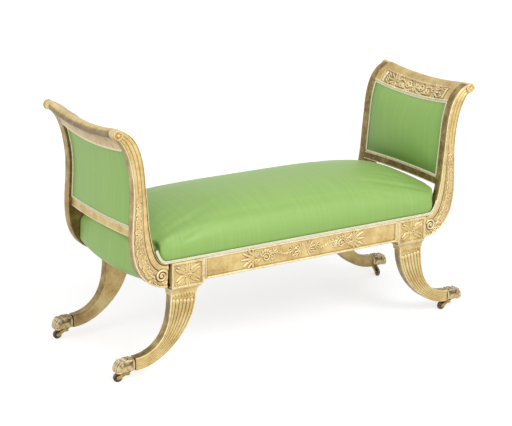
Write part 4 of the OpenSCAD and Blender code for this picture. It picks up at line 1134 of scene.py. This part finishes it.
paw_half_w, paw_h, b = 20, 44.5, turns(40)
ankle = []
for out, high_share, wide_share in ((0.4, 0.87, 0.87), (3.8, 0.87, 0.87), (5.0, 0.96, 0.98),
                                    (9, 0.95, 0.97), (14, 0.93, 0.95), (26, 0.86, 0.97),
                                    (38, 0.74, 1.0), (50, 0.62, 0.98), (58, 0.45, 0.9)):
    half_h = paw_h * high_share / 2
    ankle.append(np.stack([np.full(len(b), leg_x1 + out),
                           -leg_mid_y + paw_half_w * wide_share * squared(np.cos(b)),
                           sole_z + half_h + half_h * squared(np.sin(b))], -1))
parts = [tube(np.array(ankle), 0.0, 0)]
for y, big, front in ((-15.2, 0.92, -3), (-5.3, 1.08, -1), (5.3, 1.08, -1), (15.2, 0.92, -3)):
    cy, front = -leg_mid_y + y, leg_x1 + front
    parts += [egg(front + 34, cy, sole_z + 31, 17, 4.7 * big, 12, -0.2),
              egg(front + 51, cy, sole_z + 28, 11.5, 5.2 * big, 13.5, -0.3),
              egg(front + 59, cy, sole_z + 18, 10, 5.0 * big, 14, -0.1),
              egg(front + 57, cy, sole_z + 6, 10, 5.0 * big, 6),
              claw([[front + 63, cy, sole_z + 20], [front + 68, cy, sole_z + 18],
                    [front + 69, cy, sole_z + 9], [front + 66, cy, sole_z + 2]], (3.4, 1.4))]
for k in range(7):
    y = 5.5 * (k - 3)
    parts.append(egg(leg_x1 + 18 + 3 * (k % 2), -leg_mid_y + y, sole_z + 41 - 0.012 * y * y,
                     10, 2.3, 4.2, -0.25))
parts.append(egg(leg_x1 + 30, -leg_mid_y, sole_z + 5, 20, 18, 5))
for s in (-1, 1):
    parts.append(egg(leg_x1 + 24, -leg_mid_y + s * 17.5, sole_z + 17, 15, 3.2, 9, 0.5))

# %% The paw as one skin, its seam painted dark as shade, and its dark top
seam = 4.4
pts, quads, tris = remeshed(joined(*parts), 1.3, 2)
pts[:, 2] = np.maximum(pts[:, 2], sole_z)
paw = shape_of(pts, quads, tris, 0.0, 0)
# Painted shade: the seam under the leg is set deep, so it goes darkest.
paw["hollow"] = np.where(pts[:, 0] < leg_x1 + seam, 0.9, 1.3 * hollow_of(paw, 10, 0.5))
paw["bare"] = (-ease(pts[:, 2], sole_z + 17, sole_z + 31)
               * ease(pts[:, 0], leg_x1 + 5, leg_x1 + 12))
at_corners("lion_paw", paw, paw_gilt, "castor_brass", "paw_cap", 0)
print("paw", len(quads), "faces")

# %% [markdown]
# ## Rows along a path, with Geometry Nodes
# Braid stitches, petals, drops and tacks all repeat along a line. A node tree does
# this well: it turns edges into a curve, walks along it by a pitch, and sets a
# part at each step, turned to the path and to the surface under it. The sizes are
# named inputs of the tree. The result is made a plain mesh at the end.


# %% The tree
inputs = {"Pitch": 0.003, "Skew": 0.0, "Aside": 0.0, "Lift": 0.0}


def row_tree(name, rows):
    """rows holds a sign for each row of parts, for its side of the path and its lean."""
    tree = bpy.data.node_groups.new(name, "GeometryNodeTree")
    face = tree.interface
    face.new_socket("Path", in_out="INPUT", socket_type="NodeSocketGeometry")
    for label, value in inputs.items():
        face.new_socket(label, in_out="INPUT", socket_type="NodeSocketFloat").default_value = value
    face.new_socket("Part", in_out="INPUT", socket_type="NodeSocketObject")
    face.new_socket("Finish", in_out="INPUT", socket_type="NodeSocketMaterial")
    face.new_socket("Row", in_out="OUTPUT", socket_type="NodeSocketGeometry")
    given = add(tree, "NodeGroupInput").outputs
    curve = add(tree, "GeometryNodeMeshToCurve", {"Mesh": given["Path"]}).outputs[0]
    even = add(tree, "GeometryNodeResampleCurve", {"Curve": curve, "Length": given["Pitch"]},
               mode="LENGTH").outputs[0]
    way = add(tree, "GeometryNodeInputTangent").outputs[0]
    normal = add(tree, "GeometryNodeInputNamedAttribute", {"Name": "face_way"},
                 data_type="FLOAT_VECTOR").outputs[0]
    turn = add(tree, "FunctionNodeAlignRotationToVector", {"Vector": way}, axis="X").outputs[0]
    turn = add(tree, "FunctionNodeAlignRotationToVector", {"Rotation": turn, "Vector": normal},
               axis="Z", pivot_axis="X").outputs[0]
    part = add(tree, "GeometryNodeObjectInfo", {"Object": given["Part"]}).outputs["Geometry"]
    join = add(tree, "GeometryNodeJoinGeometry")
    for sign in rows:
        placed = add(tree, "GeometryNodeInstanceOnPoints",
                     {"Points": even, "Instance": part, "Rotation": turn}).outputs[0]
        aside, skew = (times(tree, given[label], float(sign)) for label in ("Aside", "Skew"))
        shift = add(tree, "ShaderNodeCombineXYZ", {"Y": aside, "Z": given["Lift"]}).outputs[0]
        spin = add(tree, "ShaderNodeCombineXYZ", {"Z": skew}).outputs[0]
        moved = add(tree, "GeometryNodeTranslateInstances",
                    {"Instances": placed, "Translation": shift, "Local Space": True}).outputs[0]
        spun = add(tree, "GeometryNodeRotateInstances",
                   {"Instances": moved, "Rotation": spin, "Local Space": True}).outputs[0]
        tree.links.new(spun, join.inputs[0])
    solid = add(tree, "GeometryNodeRealizeInstances", {"Geometry": join.outputs[0]}).outputs[0]
    done = add(tree, "GeometryNodeSetMaterial",
               {"Geometry": solid, "Material": given["Finish"]}).outputs[0]
    tree.links.new(done, add(tree, "NodeGroupOutput").inputs["Row"])
    return tree


one_row, two_rows = row_tree("one_row", [1]), row_tree("two_rows", [1, -1])
print("trees of", len(one_row.nodes), "and", len(two_rows.nodes), "nodes")


# %% Running the tree along paths
def laid_along(name, paths, shape, finish, tree, pitch, skew=0.0, aside=0.0, lift=0.0):
    """paths: (points in mm, way of the surface at each point, closed or not)"""
    points, edges, ways, start = [], [], [], 0
    for pts, way, closed in paths:
        n = len(pts)
        edges += [(start + i, start + (i + 1) % n) for i in range(n if closed else n - 1)]
        points += (np.asarray(pts) / 1000).tolist()
        ways += np.broadcast_to(way, (n, 3)).tolist()
        start += n
    mesh = bpy.data.meshes.new(name)
    mesh.from_pydata(points, edges, [])
    mesh.attributes.new("face_way", "FLOAT_VECTOR", "POINT").data.foreach_set(
        "vector", np.asarray(ways, np.float32).ravel())
    line, part = linked(name + "_line", mesh), new_mesh(name + "_part", shape, finish, 0)
    tool = line.modifiers.new("row", "NODES")
    tool.node_group = tree
    given = {s.name: s.identifier for s in tree.interface.items_tree if s.in_out == "INPUT"}
    for label, value in (("Pitch", pitch / 1000), ("Skew", skew), ("Aside", aside / 1000),
                         ("Lift", lift / 1000), ("Part", part), ("Finish", finish)):
        tool[given[label]] = value
    made = bpy.data.meshes.new_from_object(final_of(line))
    bpy.data.objects.remove(line)
    bpy.data.objects.remove(part)
    made.name = name
    return linked(name, made)


def welded(name, finish, *pieces):
    """Several plain meshes as one piece with one finish."""
    points, faces, hollow, start = [], [], [], 0
    for piece in pieces:
        m = piece.data
        values = np.zeros(len(m.vertices))
        if "hollow" in m.attributes:
            m.attributes["hollow"].data.foreach_get("value", values)
        hollow.append(values)
        points.append(coords(m))
        faces += [tuple(v + start for v in f.vertices) for f in m.polygons]
        start += len(m.vertices)
        bpy.data.objects.remove(piece)
    mesh = bpy.data.meshes.new(name)
    mesh.from_pydata(np.concatenate(points).tolist(), [], faces)
    mesh.attributes.new("hollow", "FLOAT", "POINT").data.foreach_set("value", np.concatenate(hollow))
    mesh.materials.append(finish)
    mesh.shade_smooth()
    mesh.set_sharp_from_angle(angle=math.radians(50))
    return linked(name, mesh)


# %% [markdown]
# ### Braid
# The gimp is a flat woven band with two rows of slanting stitches. The band is a
# thin strip swept along the path, and the stitches are small eggs set in two rows
# that lean opposite ways, as a plait does.


# %% Braid maker
def lens(rx, ry, rz, around=7, along=4):
    """A small egg with few faces, for a part that is repeated hundreds of times."""
    return tube(egg_rings(rx, ry, rz, along, around, 0.25), 0.0, 0)


strip_section = [(-0.5, 0.9), (-0.47, 0.35), (-0.25, 0.05), (0.25, 0.05),
                 (0.47, 0.35), (0.5, 0.9), (0.3, 1), (-0.3, 1)]


def strip(pts, way, closed, wide, thick):
    """A flat band with rounded edges; its outer face follows the path."""
    ahead = np.roll(pts, -1, 0) - np.roll(pts, 1, 0)
    if not closed:
        ahead[0], ahead[-1] = pts[1] - pts[0], pts[-1] - pts[-2]
    across = unit(np.cross(way, ahead))
    rings = np.stack([pts + across * (a * wide) - way * (b * thick) for a, b in strip_section], 1)
    if closed:
        return shape_of(rings, grid_faces(len(pts), len(strip_section), True), reach=0)
    return tube(rings, 0.0, 0)


braid_t, stitch_pitch, stitch_lean, stitch_sink = 1.5, 2.6, 0.75, 0.1


def braid(name, pts, way, closed, wide, node):
    """A band along a path with two rows of stitches, as one piece."""
    way = np.broadcast_to(way, np.shape(pts))
    band = new_mesh(name + "_band", strip(pts, way, closed, wide, braid_t), gimp)
    rows = laid_along(name + "_rows", [(pts, way, closed)], lens(wide * 0.27, 1.15, 0.75), gimp,
                      two_rows, stitch_pitch, stitch_lean, wide * 0.22, -stitch_sink)
    return place(welded(name, gimp, band, rows), "gimp", node)


# %% Braid round the seat
seat_braid, braid_gap = 10, 0.3
run = np.linspace(0, block_out, 70)[:, None]
flat = np.c_[run, np.full(len(run), rail_top + braid_gap + seat_braid / 2)]
climb = edge_in(np.linspace(0.16, 0.66, 56), -braid_gap - seat_braid / 2)
half = np.concatenate([flat, climb])
whole = np.concatenate([half[:0:-1] * [-1, 1], half])
for name, sign in (("front", -1), ("back", 1)):
    path = np.stack([whole[:, 0], np.full(len(whole), sign * (rail_y - 0.4)), whole[:, 1]], -1)
    braid(f"seat_braid_{name}", path, [0.0, sign, 0.0], False, seat_braid, f"seat_gimp_{name}")
print("seat braid", round(length_along(whole)[-1]), "mm long, front and back")

# %% Braid round the end panels, inside and outside
panel_braid, outer_sink = 7, 10.4
pad_half, rim = span_y - braid_gap, panel_braid + braid_gap
pad_p0, pad_p1 = p_step(p_cross1, braid_gap), p_step(p_crest, -braid_gap)


def loop(inset, out):
    """A loop round a panel, and the way out of the panel at each of its points."""
    a, b, h = p_step(pad_p0, inset), p_step(pad_p1, -inset), pad_half - inset
    along, up = np.linspace(-h, h, 60)[:-1], np.linspace(a, b, 40)[:-1]
    p = np.concatenate([np.full(len(along), a), up, np.full(len(along), b), a + b - up])
    y = np.concatenate([along, np.full(len(up), h), -along, np.full(len(up), -h)])
    n = line_out(p)
    return end_point(p, out(p), y), np.stack([n[:, 0], 0 * p, n[:, 1]], -1)


faces = {"inner": (-1, lambda p: braid_t - stile_w(p) / 2),
         "outer": (1, lambda p: stile_w(p) / 2 - outer_sink)}
for name, left in ends.items():
    flip = np.array([-1 if left else 1, 1, 1])
    for face, (sign, out) in faces.items():
        pts, way = loop(panel_braid / 2, out)
        braid(f"panel_braid_{face}_{name}", pts * flip, way * sign * flip, True, panel_braid,
              f"{face}_gimp_{name}")
print("panel braid", round(length_along(pts)[-1]), "mm round each panel")

# %% [markdown]
# ### Rosettes, drops and tacks
# The ends of the rolls are turned discs with a ring of petals, which the tree sets
# round a circle. Under each cap hangs a row of small drops, and the dust cloth is
# held by dome-headed tacks.

# %% Rosettes on the ends of the rolls
r_share = np.array([0.02, 0.18, 0.28, 0.33, 0.4, 0.52, 0.64, 0.7, 0.75, 0.84, 0.92, 0.97, 1.0, 1.0, 0.6])
h_mm = np.array([8, 7.6, 6.4, 4.4, 2.9, 2.4, 2.6, 4.4, 5.0, 5.2, 4.8, 3.8, 2.4, 0.0, 0.0])
dark_share = np.interp(r_share, [0.3, 0.36, 0.66, 0.72, 0.9, 0.96], [-0.3, 1, 0.95, -0.4, -0.4, 0])
disc_wide, leaf_ring_r, leaf_ring_up, leaf_count = boss_r - 1.2, 9.2, 3.1, 10
turn, discs, circles = turns(40), [], []
for sx in (-1, 1):
    for sy in (-1, 1):
        c = np.array([sx * roll_x, sy * (stile_y + 1), roll_z])
        r = disc_wide * r_share[:, None]
        disc = tube(c + np.stack([r * np.cos(turn), sy * h_mm[:, None] + 0 * turn, r * np.sin(turn)], -1),
                    0.0, 0)
        disc["hollow"][:-2] = np.repeat(dark_share, len(turn))
        discs.append(new_mesh("disc", disc, gilt))
        ring = np.stack([leaf_ring_r * np.cos(turn), 0 * turn + sy * leaf_ring_up,
                         leaf_ring_r * np.sin(turn)], -1)
        circles.append((c + ring, [0.0, sy, 0.0], True))
leaves = laid_along("rosette_ring", circles, lens(2.3, 3.9, 1.9, 10, 7), gilt, one_row,
                    2 * math.pi * leaf_ring_r / (leaf_count + 0.02))
place(welded("roll_rosettes", gilt, *discs, leaves), "giltwood", "crest_bosses")
print(len(discs), "rosettes of", leaf_count, "leaves")

# %% Drops under the caps
drop_turn, drops_wide = turns(10), leg_top_w * (1 - 2 * border)
rings = [np.stack([r * np.cos(drop_turn), -down + 0 * drop_turn, 0.8 * r * np.sin(drop_turn)], -1)
         for down, r in ((0, 2.4), (0.8, 4.2), (4, 4.5), (8, 3.1), (11, 1.5), (13, 0.3))]
drop_count, rows = 8, []
for sx in (-1, 1):
    for sy in (-1, 1):
        xs = -sy * np.linspace(-1, 1, 14) * (drops_wide - drops_wide / drop_count) / 2
        pts = np.stack([sx * leg_x0 + xs, 0 * xs + sy * (leg_y - 2.2), 0 * xs + leg_z0 - 12], -1)
        rows.append((pts, [0.0, sy, 0.0], False))
drops = laid_along("cap_drops", rows, tube(np.array(rings), 0.0, 0), gilt, one_row,
                   drops_wide / (drop_count + 0.04))
place(drops, "giltwood")
print(len(rows), "rows of", drop_count, "drops")

# %% Tacks round the dust cloth
tack_pitch = 42
edge_x, edge_y = block_in - 6, rail_y - rail_t / 2 - 5
outline = [[sx * edge_x, sy * edge_y, rail_z] for sx, sy in ((-1, -1), (1, -1), (1, 1), (-1, 1))]
tacks = laid_along("cloth_tacks", [(outline, [0.0, 0.0, -1.0], True)], lens(2.6, 2.6, 1.1, 10, 5),
                   brass, one_row, tack_pitch)
place(tacks, "castor_brass")
print("tacks every", tack_pitch, "mm")

# %% [markdown]
# ## Stuffed pieces
# A stuffed seat is a closed bag pulled over hair and springs. It starts here as a
# skin a little inside its CAD solid. A voxel remesh gives even cloth, and Blender's
# cloth solver blows it up with a low pressure while the nailed edges are held. How
# far a point may move is capped, so that the seat keeps to the space between the
# rails and the ends.


# %% The stuffing step
def table(rows, n):
    """A table of shares read at n places, softly between its rows."""
    rows = np.asarray(rows, float)
    x = np.linspace(0, len(rows) - 1, n)
    return np.stack([smooth(rows[:, c], x) for c in range(rows.shape[1])], -1)


cloth_frames = 20


def blown_up(piece, free, pressure):
    """The bag's points after the cloth solver, in mm; it is nailed where free is below 0.5."""
    group = piece.vertex_groups.new(name="nailed")
    for i in np.nonzero(free < 0.5)[0]:
        group.add([int(i)], 1.0, "REPLACE")
    tool = piece.modifiers.new("stuffing", "CLOTH")
    s = tool.settings
    s.quality, s.mass, s.use_pressure, s.uniform_pressure_force = 5, 0.3, True, pressure
    s.tension_stiffness = s.compression_stiffness = s.shear_stiffness = 15
    s.vertex_group_mass, s.effector_weights.gravity = "nailed", 0.0
    tool.point_cache.frame_start, tool.point_cache.frame_end = 1, cloth_frames
    for f in range(1, cloth_frames + 1):
        bpy.context.scene.frame_set(f)
    points = coords(final_of(piece).data, 1000)
    piece.modifiers.remove(tool)
    bpy.context.scene.frame_set(1)
    return points


def stuffed(name, shape, finish, size, cap, held, pressure=4.0):
    """held(points) is 0 where the cover is nailed and 1 where it is free."""
    pts, quads, tris = remeshed(shape, size, 2)
    free = np.clip(held(pts), 0, 1)
    body = shape_of(pts, quads, tris, 0.0, 0)
    piece = new_mesh(name, body, finish, 0)
    move = blown_up(piece, free, pressure) - pts
    bpy.data.objects.remove(piece)
    far = np.linalg.norm(move, axis=1, keepdims=True)
    move *= np.minimum(1, cap / np.maximum(far, 1e-9)) * free[:, None]
    print(name, "moved up to", round(float(far.max()), 1),
          "mm, kept", round(float(np.abs(move).max()), 1))
    body["points"] = pts + move
    return body


def covered(name, shape, finish):
    """A silk mesh with one level of subdivision."""
    piece = new_mesh(name, shape, finish, 0)
    fine = piece.modifiers.new("fine", "SUBSURF")
    fine.levels = fine.render_levels = 1
    return piece


# %% [markdown]
# ### The seat
# The front edge of the seat is round and its top is crowned. At the left end the
# stuffing has settled: a soft crease runs along the front edge, and the corners are
# pulled in and tucked. The tucks, and the top of the seat near the ends, are painted
# darker as shade.

# %% Seat: its section and its length
side_shares = [[0.986, 0], [0.996, 0.1], [1, 0.24], [0.995, 0.4], [0.975, 0.53], [0.935, 0.64],
               [0.87, 0.73], [0.77, 0.81], [0.62, 0.885], [0.42, 0.95], [0.2, 0.988], [0, 1]]
length_shares = [[0, 1], [0.16, 1], [0.32, 0.998], [0.48, 0.993], [0.62, 0.98], [0.74, 0.955],
                 [0.83, 0.915], [0.89, 0.865], [0.93, 0.815], [0.965, 0.75], [0.985, 0.7], [1, 0.64]]
seat_crown, web_z, seat_gap = 142, rail_top + 2, 0.8
seat_end_x = float(edge_in(np.array(0.86))[0]) - seat_gap
seat_side_y = rail_y - 1.6 - 0.3
inner_edge = edge_in(np.linspace(0, 0.86, 400))


def seat_floor(x):
    """Underside of the seat: flat on the webbing, and rising along the uprights."""
    low = np.interp(x, inner_edge[:, 0], inner_edge[:, 1]) + seat_gap
    return np.maximum(web_z + 0.3, np.where(x > block_out, low, web_z))


def seat_free(p):
    """Held along its foot and at its ends."""
    x = np.abs(p[:, 0])
    return ease(p[:, 2] - seat_floor(x), 8, 40) * ease(seat_end_x - x, 1, 30)


half_ring, half_len = table(side_shares, 48), table(length_shares, 60)
xs = np.concatenate([-half_len[:0:-1, 0], half_len[:, 0]]) * (seat_end_x - 1.5)
highs = np.concatenate([half_len[:0:-1, 1], half_len[:, 1]])
shrink_y, lift, rings = 2.0, 0.5, []
for x, high in zip(xs, highs):
    low, top = seat_floor(abs(x)) + lift, rail_top + seat_crown * high + 1.5
    y, z = (seat_side_y - shrink_y) * half_ring[:, 0], mix(low, top, half_ring[:, 1])
    floor = np.linspace(-y[0], y[0], 22)[1:-1]
    ring_y, ring_z = np.r_[y, -y[-2::-1], floor], np.r_[z, z[-2::-1], np.full(len(floor), low)]
    rings.append(np.stack([np.full(len(ring_y), x), ring_y, ring_z], -1))
seat = stuffed("seat_sketch", tube(np.array(rings), 0.0, 0), silk_seat, 8.0, 9.0, seat_free)
print("seat", round(2 * seat_end_x), "mm long,", len(seat["quads"]), "faces")

# %% Seat: pulled corners, tucks and the crease
tuck_up, tuck_half, right_share = 58, 30, 0.35
pts = seat["points"]
hand = np.sign(pts)
corner = ease(np.abs(pts[:, 0]), 505, 566) * ease(np.abs(pts[:, 1]), 165, 246)
corner *= np.where(pts[:, 0] < 0, 1.0, 0.25)
pts[:, :2] -= hand[:, :2] * corner[:, None] * [18, 10]
pts[:, 2] -= 22 * corner * ease(pts[:, 2] - seat_floor(np.abs(pts[:, 0])), 4, 60)
tuck = (ease(np.abs(pts[:, 0]), 530, 556) * ease(np.abs(pts[:, 1]), 196, 232)
        * np.exp(-((pts[:, 2] - rail_top - tuck_up) / tuck_half) ** 2)
        * np.where(pts[:, 0] < 0, 1.0, right_share))
pts[:, :2] -= hand[:, :2] * tuck[:, None] * [22, 30]
# Painted shade: the silk darkens in the tucks, and on the top near the ends.
end_shade = np.exp((np.abs(pts[:, 0]) - seat_end_x) / 75) * ease(pts[:, 2], rail_top + 55, rail_top + 90)
seat["bare"] = 0.85 * ease(tuck, 0.15, 0.8) + 0.26 * end_shade
fold_x = [-565, -530, -491, -453, -416, -341, -192, 0, 260]
fold_up = [68, 81, 92, 100, 104.5, 108, 109.5, 108.5, 106]
above = pts[:, 2] - rail_top - np.interp(pts[:, 0], fold_x, fold_up)
reach = (1 - ease(pts[:, 0], 40, 330)) * ease(pts[:, 0], -562, -520) * (pts[:, 1] < -140)
dent = (2.8 * np.exp(-((above - 5) / 6) ** 2) - 2.4 * np.exp(-((above + 12) / 12) ** 2)) * reach
pts[:, 1:] += dent[:, None] * [0.65, -0.75]
seat_piece = place(covered("silk_seat_cover", seat, silk_seat), "silk", "seat_cushion")
print("crease up to", round(float(dent.max()), 1), "mm deep, tucks up to", round(30 * tuck.max()), "mm")

# %% [markdown]
# ### The end panels
# Inside, each end has a plump pad; outside, a flatter cover. Both are bags between
# two curved sheets, nailed along the braid. One of each is made and mirrored.

# %% Panel pads and covers
pad_crown, cover_crown, panel_inset = 14, 3, 0.4
pad_low, pad_high = line_at(np.array(pad_p0)), line_at(np.array(pad_p1))
mm_per_p = 240  # near enough, over a panel


def panel_rise(p, y):
    """Dome of a panel: 0 at its braid, and 1 in the middle."""
    edge, soft = rim + 0.3, pad_crown * 4
    at = line_at(p)
    u = np.minimum(np.linalg.norm(at - pad_low, axis=-1), np.linalg.norm(at - pad_high, axis=-1)) - edge
    v = pad_half - np.abs(y) - edge
    dome = 1 - ((np.minimum(p, pad_p1) - pad_p0) / (pad_p1 - pad_p0) * 2 - 1) ** 2
    dome = 0.45 + 0.55 * np.clip(dome, 0, 1) * (1 - (y / pad_half) ** 2)
    return np.sqrt(ease(u / soft) ** 0.8) * np.sqrt(ease(v / soft) ** 0.8) * dome


def panel(inner, outer):
    """A bag between two sheets, given by their distance from the middle line."""
    p = np.linspace(p_step(pad_p0, panel_inset), p_step(pad_p1, -panel_inset), 60)
    y = np.linspace(panel_inset - pad_half, pad_half - panel_inset, 90)[:, None]
    return tube(np.concatenate([end_point(p, inner(p, y), y),
                                end_point(p, outer(p, y), y)[:, ::-1]], 1), 0.0, 0)


def panel_free(points):
    """Held all round, along the braid."""
    p = p_at_height(points[:, 2])
    u = np.minimum(p - pad_p0, pad_p1 - p) * mm_per_p
    return ease(u, 8, 34) * ease(pad_half - np.abs(points[:, 1]), 8, 30)


def pad_free(points):
    """Only the inner face of the pad is free."""
    middle = line_at(p_at_height(points[:, 2]))
    return panel_free(points) * (points[:, 0] < middle[:, 0] - 2)


pad_bag = panel(lambda p, y: 4 - stile_w(p) / 2 - (pad_crown + 6) * panel_rise(p, y),
                lambda p, y: 19 - stile_w(p) / 2)
cover_bag = panel(lambda p, y: stile_w(p) / 2 - 17.5,
                  lambda p, y: stile_w(p) / 2 - 12.5 + cover_crown * panel_rise(p, y))
pad = stuffed("pad_sketch", pad_bag, silk_end, 5.0, 9.0, pad_free, 6.0)
cover = stuffed("cover_sketch", cover_bag, silk_end, 3.9, 3.0, panel_free)
p, from_side = p_at_height(pad["points"][:, 2]), pad_half - np.abs(pad["points"][:, 1])
# Painted shade: the pad darkens towards its braid, most along its foot, and the cover along its sides.
rim_painted_shade = (1.1 * np.exp(-(p - pad_p0) * mm_per_p / 38) + 0.25 * np.exp(-(pad_p1 - p) * mm_per_p / 20)
            + 0.5 * np.exp(-from_side / 20))
pad["bare"] = 0.55 * np.clip(rim_painted_shade - 0.1, 0, 0.8)
cover["bare"] = 0.2 * np.exp(-(pad_half - np.abs(cover["points"][:, 1])) / 16)
for name, left in ends.items():
    for kind, shape, node, fill in (("pad", pad, "panel_pad", 0.8), ("cover", cover, "panel_cover", 0.9)):
        piece = covered(f"silk_{kind}_{name}", cornered(shape, left, 0), silk_end)
        place(piece, "silk", f"{node}_{name}")
print("pad", len(pad["quads"]), "faces, cover", len(cover["quads"]))

# %% [markdown]
# ### The stuffed ends of the seat
# Between the feet of the uprights the silk wraps a curved rail. The piece is a
# padded sleeve: an outline in side view, a thickness of stuffing inwards, and
# rounded edges where it meets the uprights.

# %% End sleeves
sleeve_inset, sleeve_round, sleeve_n = 0.6, 8.0, 76
end_face_x, end_top_z = seat_end_x + 24, rail_top + seat_crown * 0.55
steps, quarter = np.linspace(0, 1, 34), np.linspace(0, np.pi / 2, 14)
foot_p = mix(0.02, 0.42, steps)
bulge = 20 * np.minimum(1, 0.3 + 0.7 * steps * 12 / 5)
rings = []
for y in np.linspace(sleeve_inset - span_y, span_y - sleeve_inset, sleeve_n):
    full = 1 - (y / span_y) ** 2
    shut = float(round_edge(span_y - sleeve_inset - abs(y), sleeve_round)) * 0.7 + 0.6
    low = edge_out(foot_p, 8 + shut) + line_out(foot_p) * (bulge * full)[:, None]
    face_x, top = end_face_x + 10 * full - shut, end_top_z - shut - 22 * float(ease(abs(y), 100, 204))
    turned = np.c_[face_x - 22 * (1 - np.cos(quarter)), top - 22 * (1 - np.sin(quarter))]
    straight = mix(low[-1], turned[0], np.linspace(0, 1, 16)[1:-1, None])
    flat = np.linspace(turned[-1], [seat_end_x + 1, top], 5)[1:]
    inner = edge_in(np.linspace(0.7, 0.02, 44), 3.0)
    ring = np.concatenate([low, straight, turned, flat, inner])
    for _ in range(5):
        ring[1:-1] = ring[1:-1] * 0.5 + (ring[:-2] + ring[2:]) * 0.25
    rings.append(np.stack([ring[:, 0], np.full(len(ring), y), ring[:, 1]], -1))
sleeve = tube(np.array(rings), 0.0, 0)
for name, left in ends.items():
    piece = new_mesh(f"silk_end_{name}", cornered(sleeve, left, 0), silk_end, 0)
    place(piece, "silk", f"end_cover_{name}")
print("sleeve", len(sleeve["quads"]), "faces")

# %% [markdown]
# ## The studio
# The seat stands on a plain pale floor under three large soft lamps and a dim, even
# sky. The camera and reflections see the sky white and the floor glow, more with
# distance, so that the floor runs into the background. Other rays see neither, so
# the white adds no light of its own.

# %% Floor
def seen_rays(tree, *kinds):
    """1 for these kinds of rays, and 0 for all others."""
    rays = add(tree, "ShaderNodeLightPath").outputs
    seen = rays[kinds[0]]
    for kind in kinds[1:]:
        seen = math_node(tree, "MAXIMUM", seen, rays[kind])
    return seen


floor_half, glow_from, glow_to = 30, 1.0, 4.5
floor_data = bpy.data.meshes.new("floor")
floor_data.from_pydata([(sx * floor_half, sy * floor_half, 0)
                        for sx, sy in ((-1, -1), (1, -1), (1, 1), (-1, 1))], [], [(0, 1, 2, 3)])
floor = linked("floor", floor_data)
paint, tree, dull, where = new_finish("floor_paint", Roughness=0.9, Specular_IOR_Level=0.1)
dull.inputs["Base Color"].default_value = (0.55, 0.55, 0.55, 1)
far = add(tree, "ShaderNodeVectorMath", {0: where}, operation="LENGTH").outputs["Value"]
glow = add(tree, "ShaderNodeEmission", {"Strength": span(tree, far, glow_from, glow_to, 0.66, 0.95)})
both = add(tree, "ShaderNodeAddShader", {0: dull.outputs[0], 1: glow.outputs[0]})
pick = add(tree, "ShaderNodeMixShader", {0: seen_rays(tree, "Is Camera Ray", "Is Glossy Ray"),
                                         1: dull.outputs[0], 2: both.outputs[0]})
tree.links.new(pick.outputs[0], tree.nodes["Material Output"].inputs["Surface"])
floor_data.materials.append(paint)
print("floor", 2 * floor_half, "m wide")

# %% World
world = bpy.data.worlds.new("studio")
bpy.context.scene.world = world
world.use_nodes = True
tree = world.node_tree
tree.nodes.clear()
seen = seen_rays(tree, "Is Camera Ray", "Is Glossy Ray", "Is Transmission Ray")
power = span(tree, seen, 0, 1, 0.45, 1.0)
sky = add(tree, "ShaderNodeBackground", {"Color": (1, 1, 1, 1), "Strength": power})
tree.links.new(sky.outputs[0], add(tree, "ShaderNodeOutputWorld").inputs["Surface"])
print("world with", len(tree.nodes), "nodes")


# %% Lamps
def lamp(name, at, aim, size, power):
    """A round soft lamp at a place, turned to what it lights."""
    data = bpy.data.lights.new(name, "AREA")
    data.shape, data.size, data.energy = "DISK", size, power
    one = linked(name, data)
    way = Vector(at) - Vector(aim)
    one.matrix_world = Matrix.Translation(at) @ way.to_track_quat("Z", "Y").to_matrix().to_4x4()
    return one


lamp_aim, lamp_size = (0, 0, 0.45), 2.2
for name, at, power in (("front", (0.5, -3.2, 2.9), 82), ("left", (-3.4, -0.6, 2.0), 34),
                        ("key", (-2.4, -2.9, 2.9), 24)):
    lamp(name, at, lamp_aim, lamp_size, power)
bpy.context.scene.view_settings.view_transform = "Standard"
print("three lamps of", lamp_size, "m")
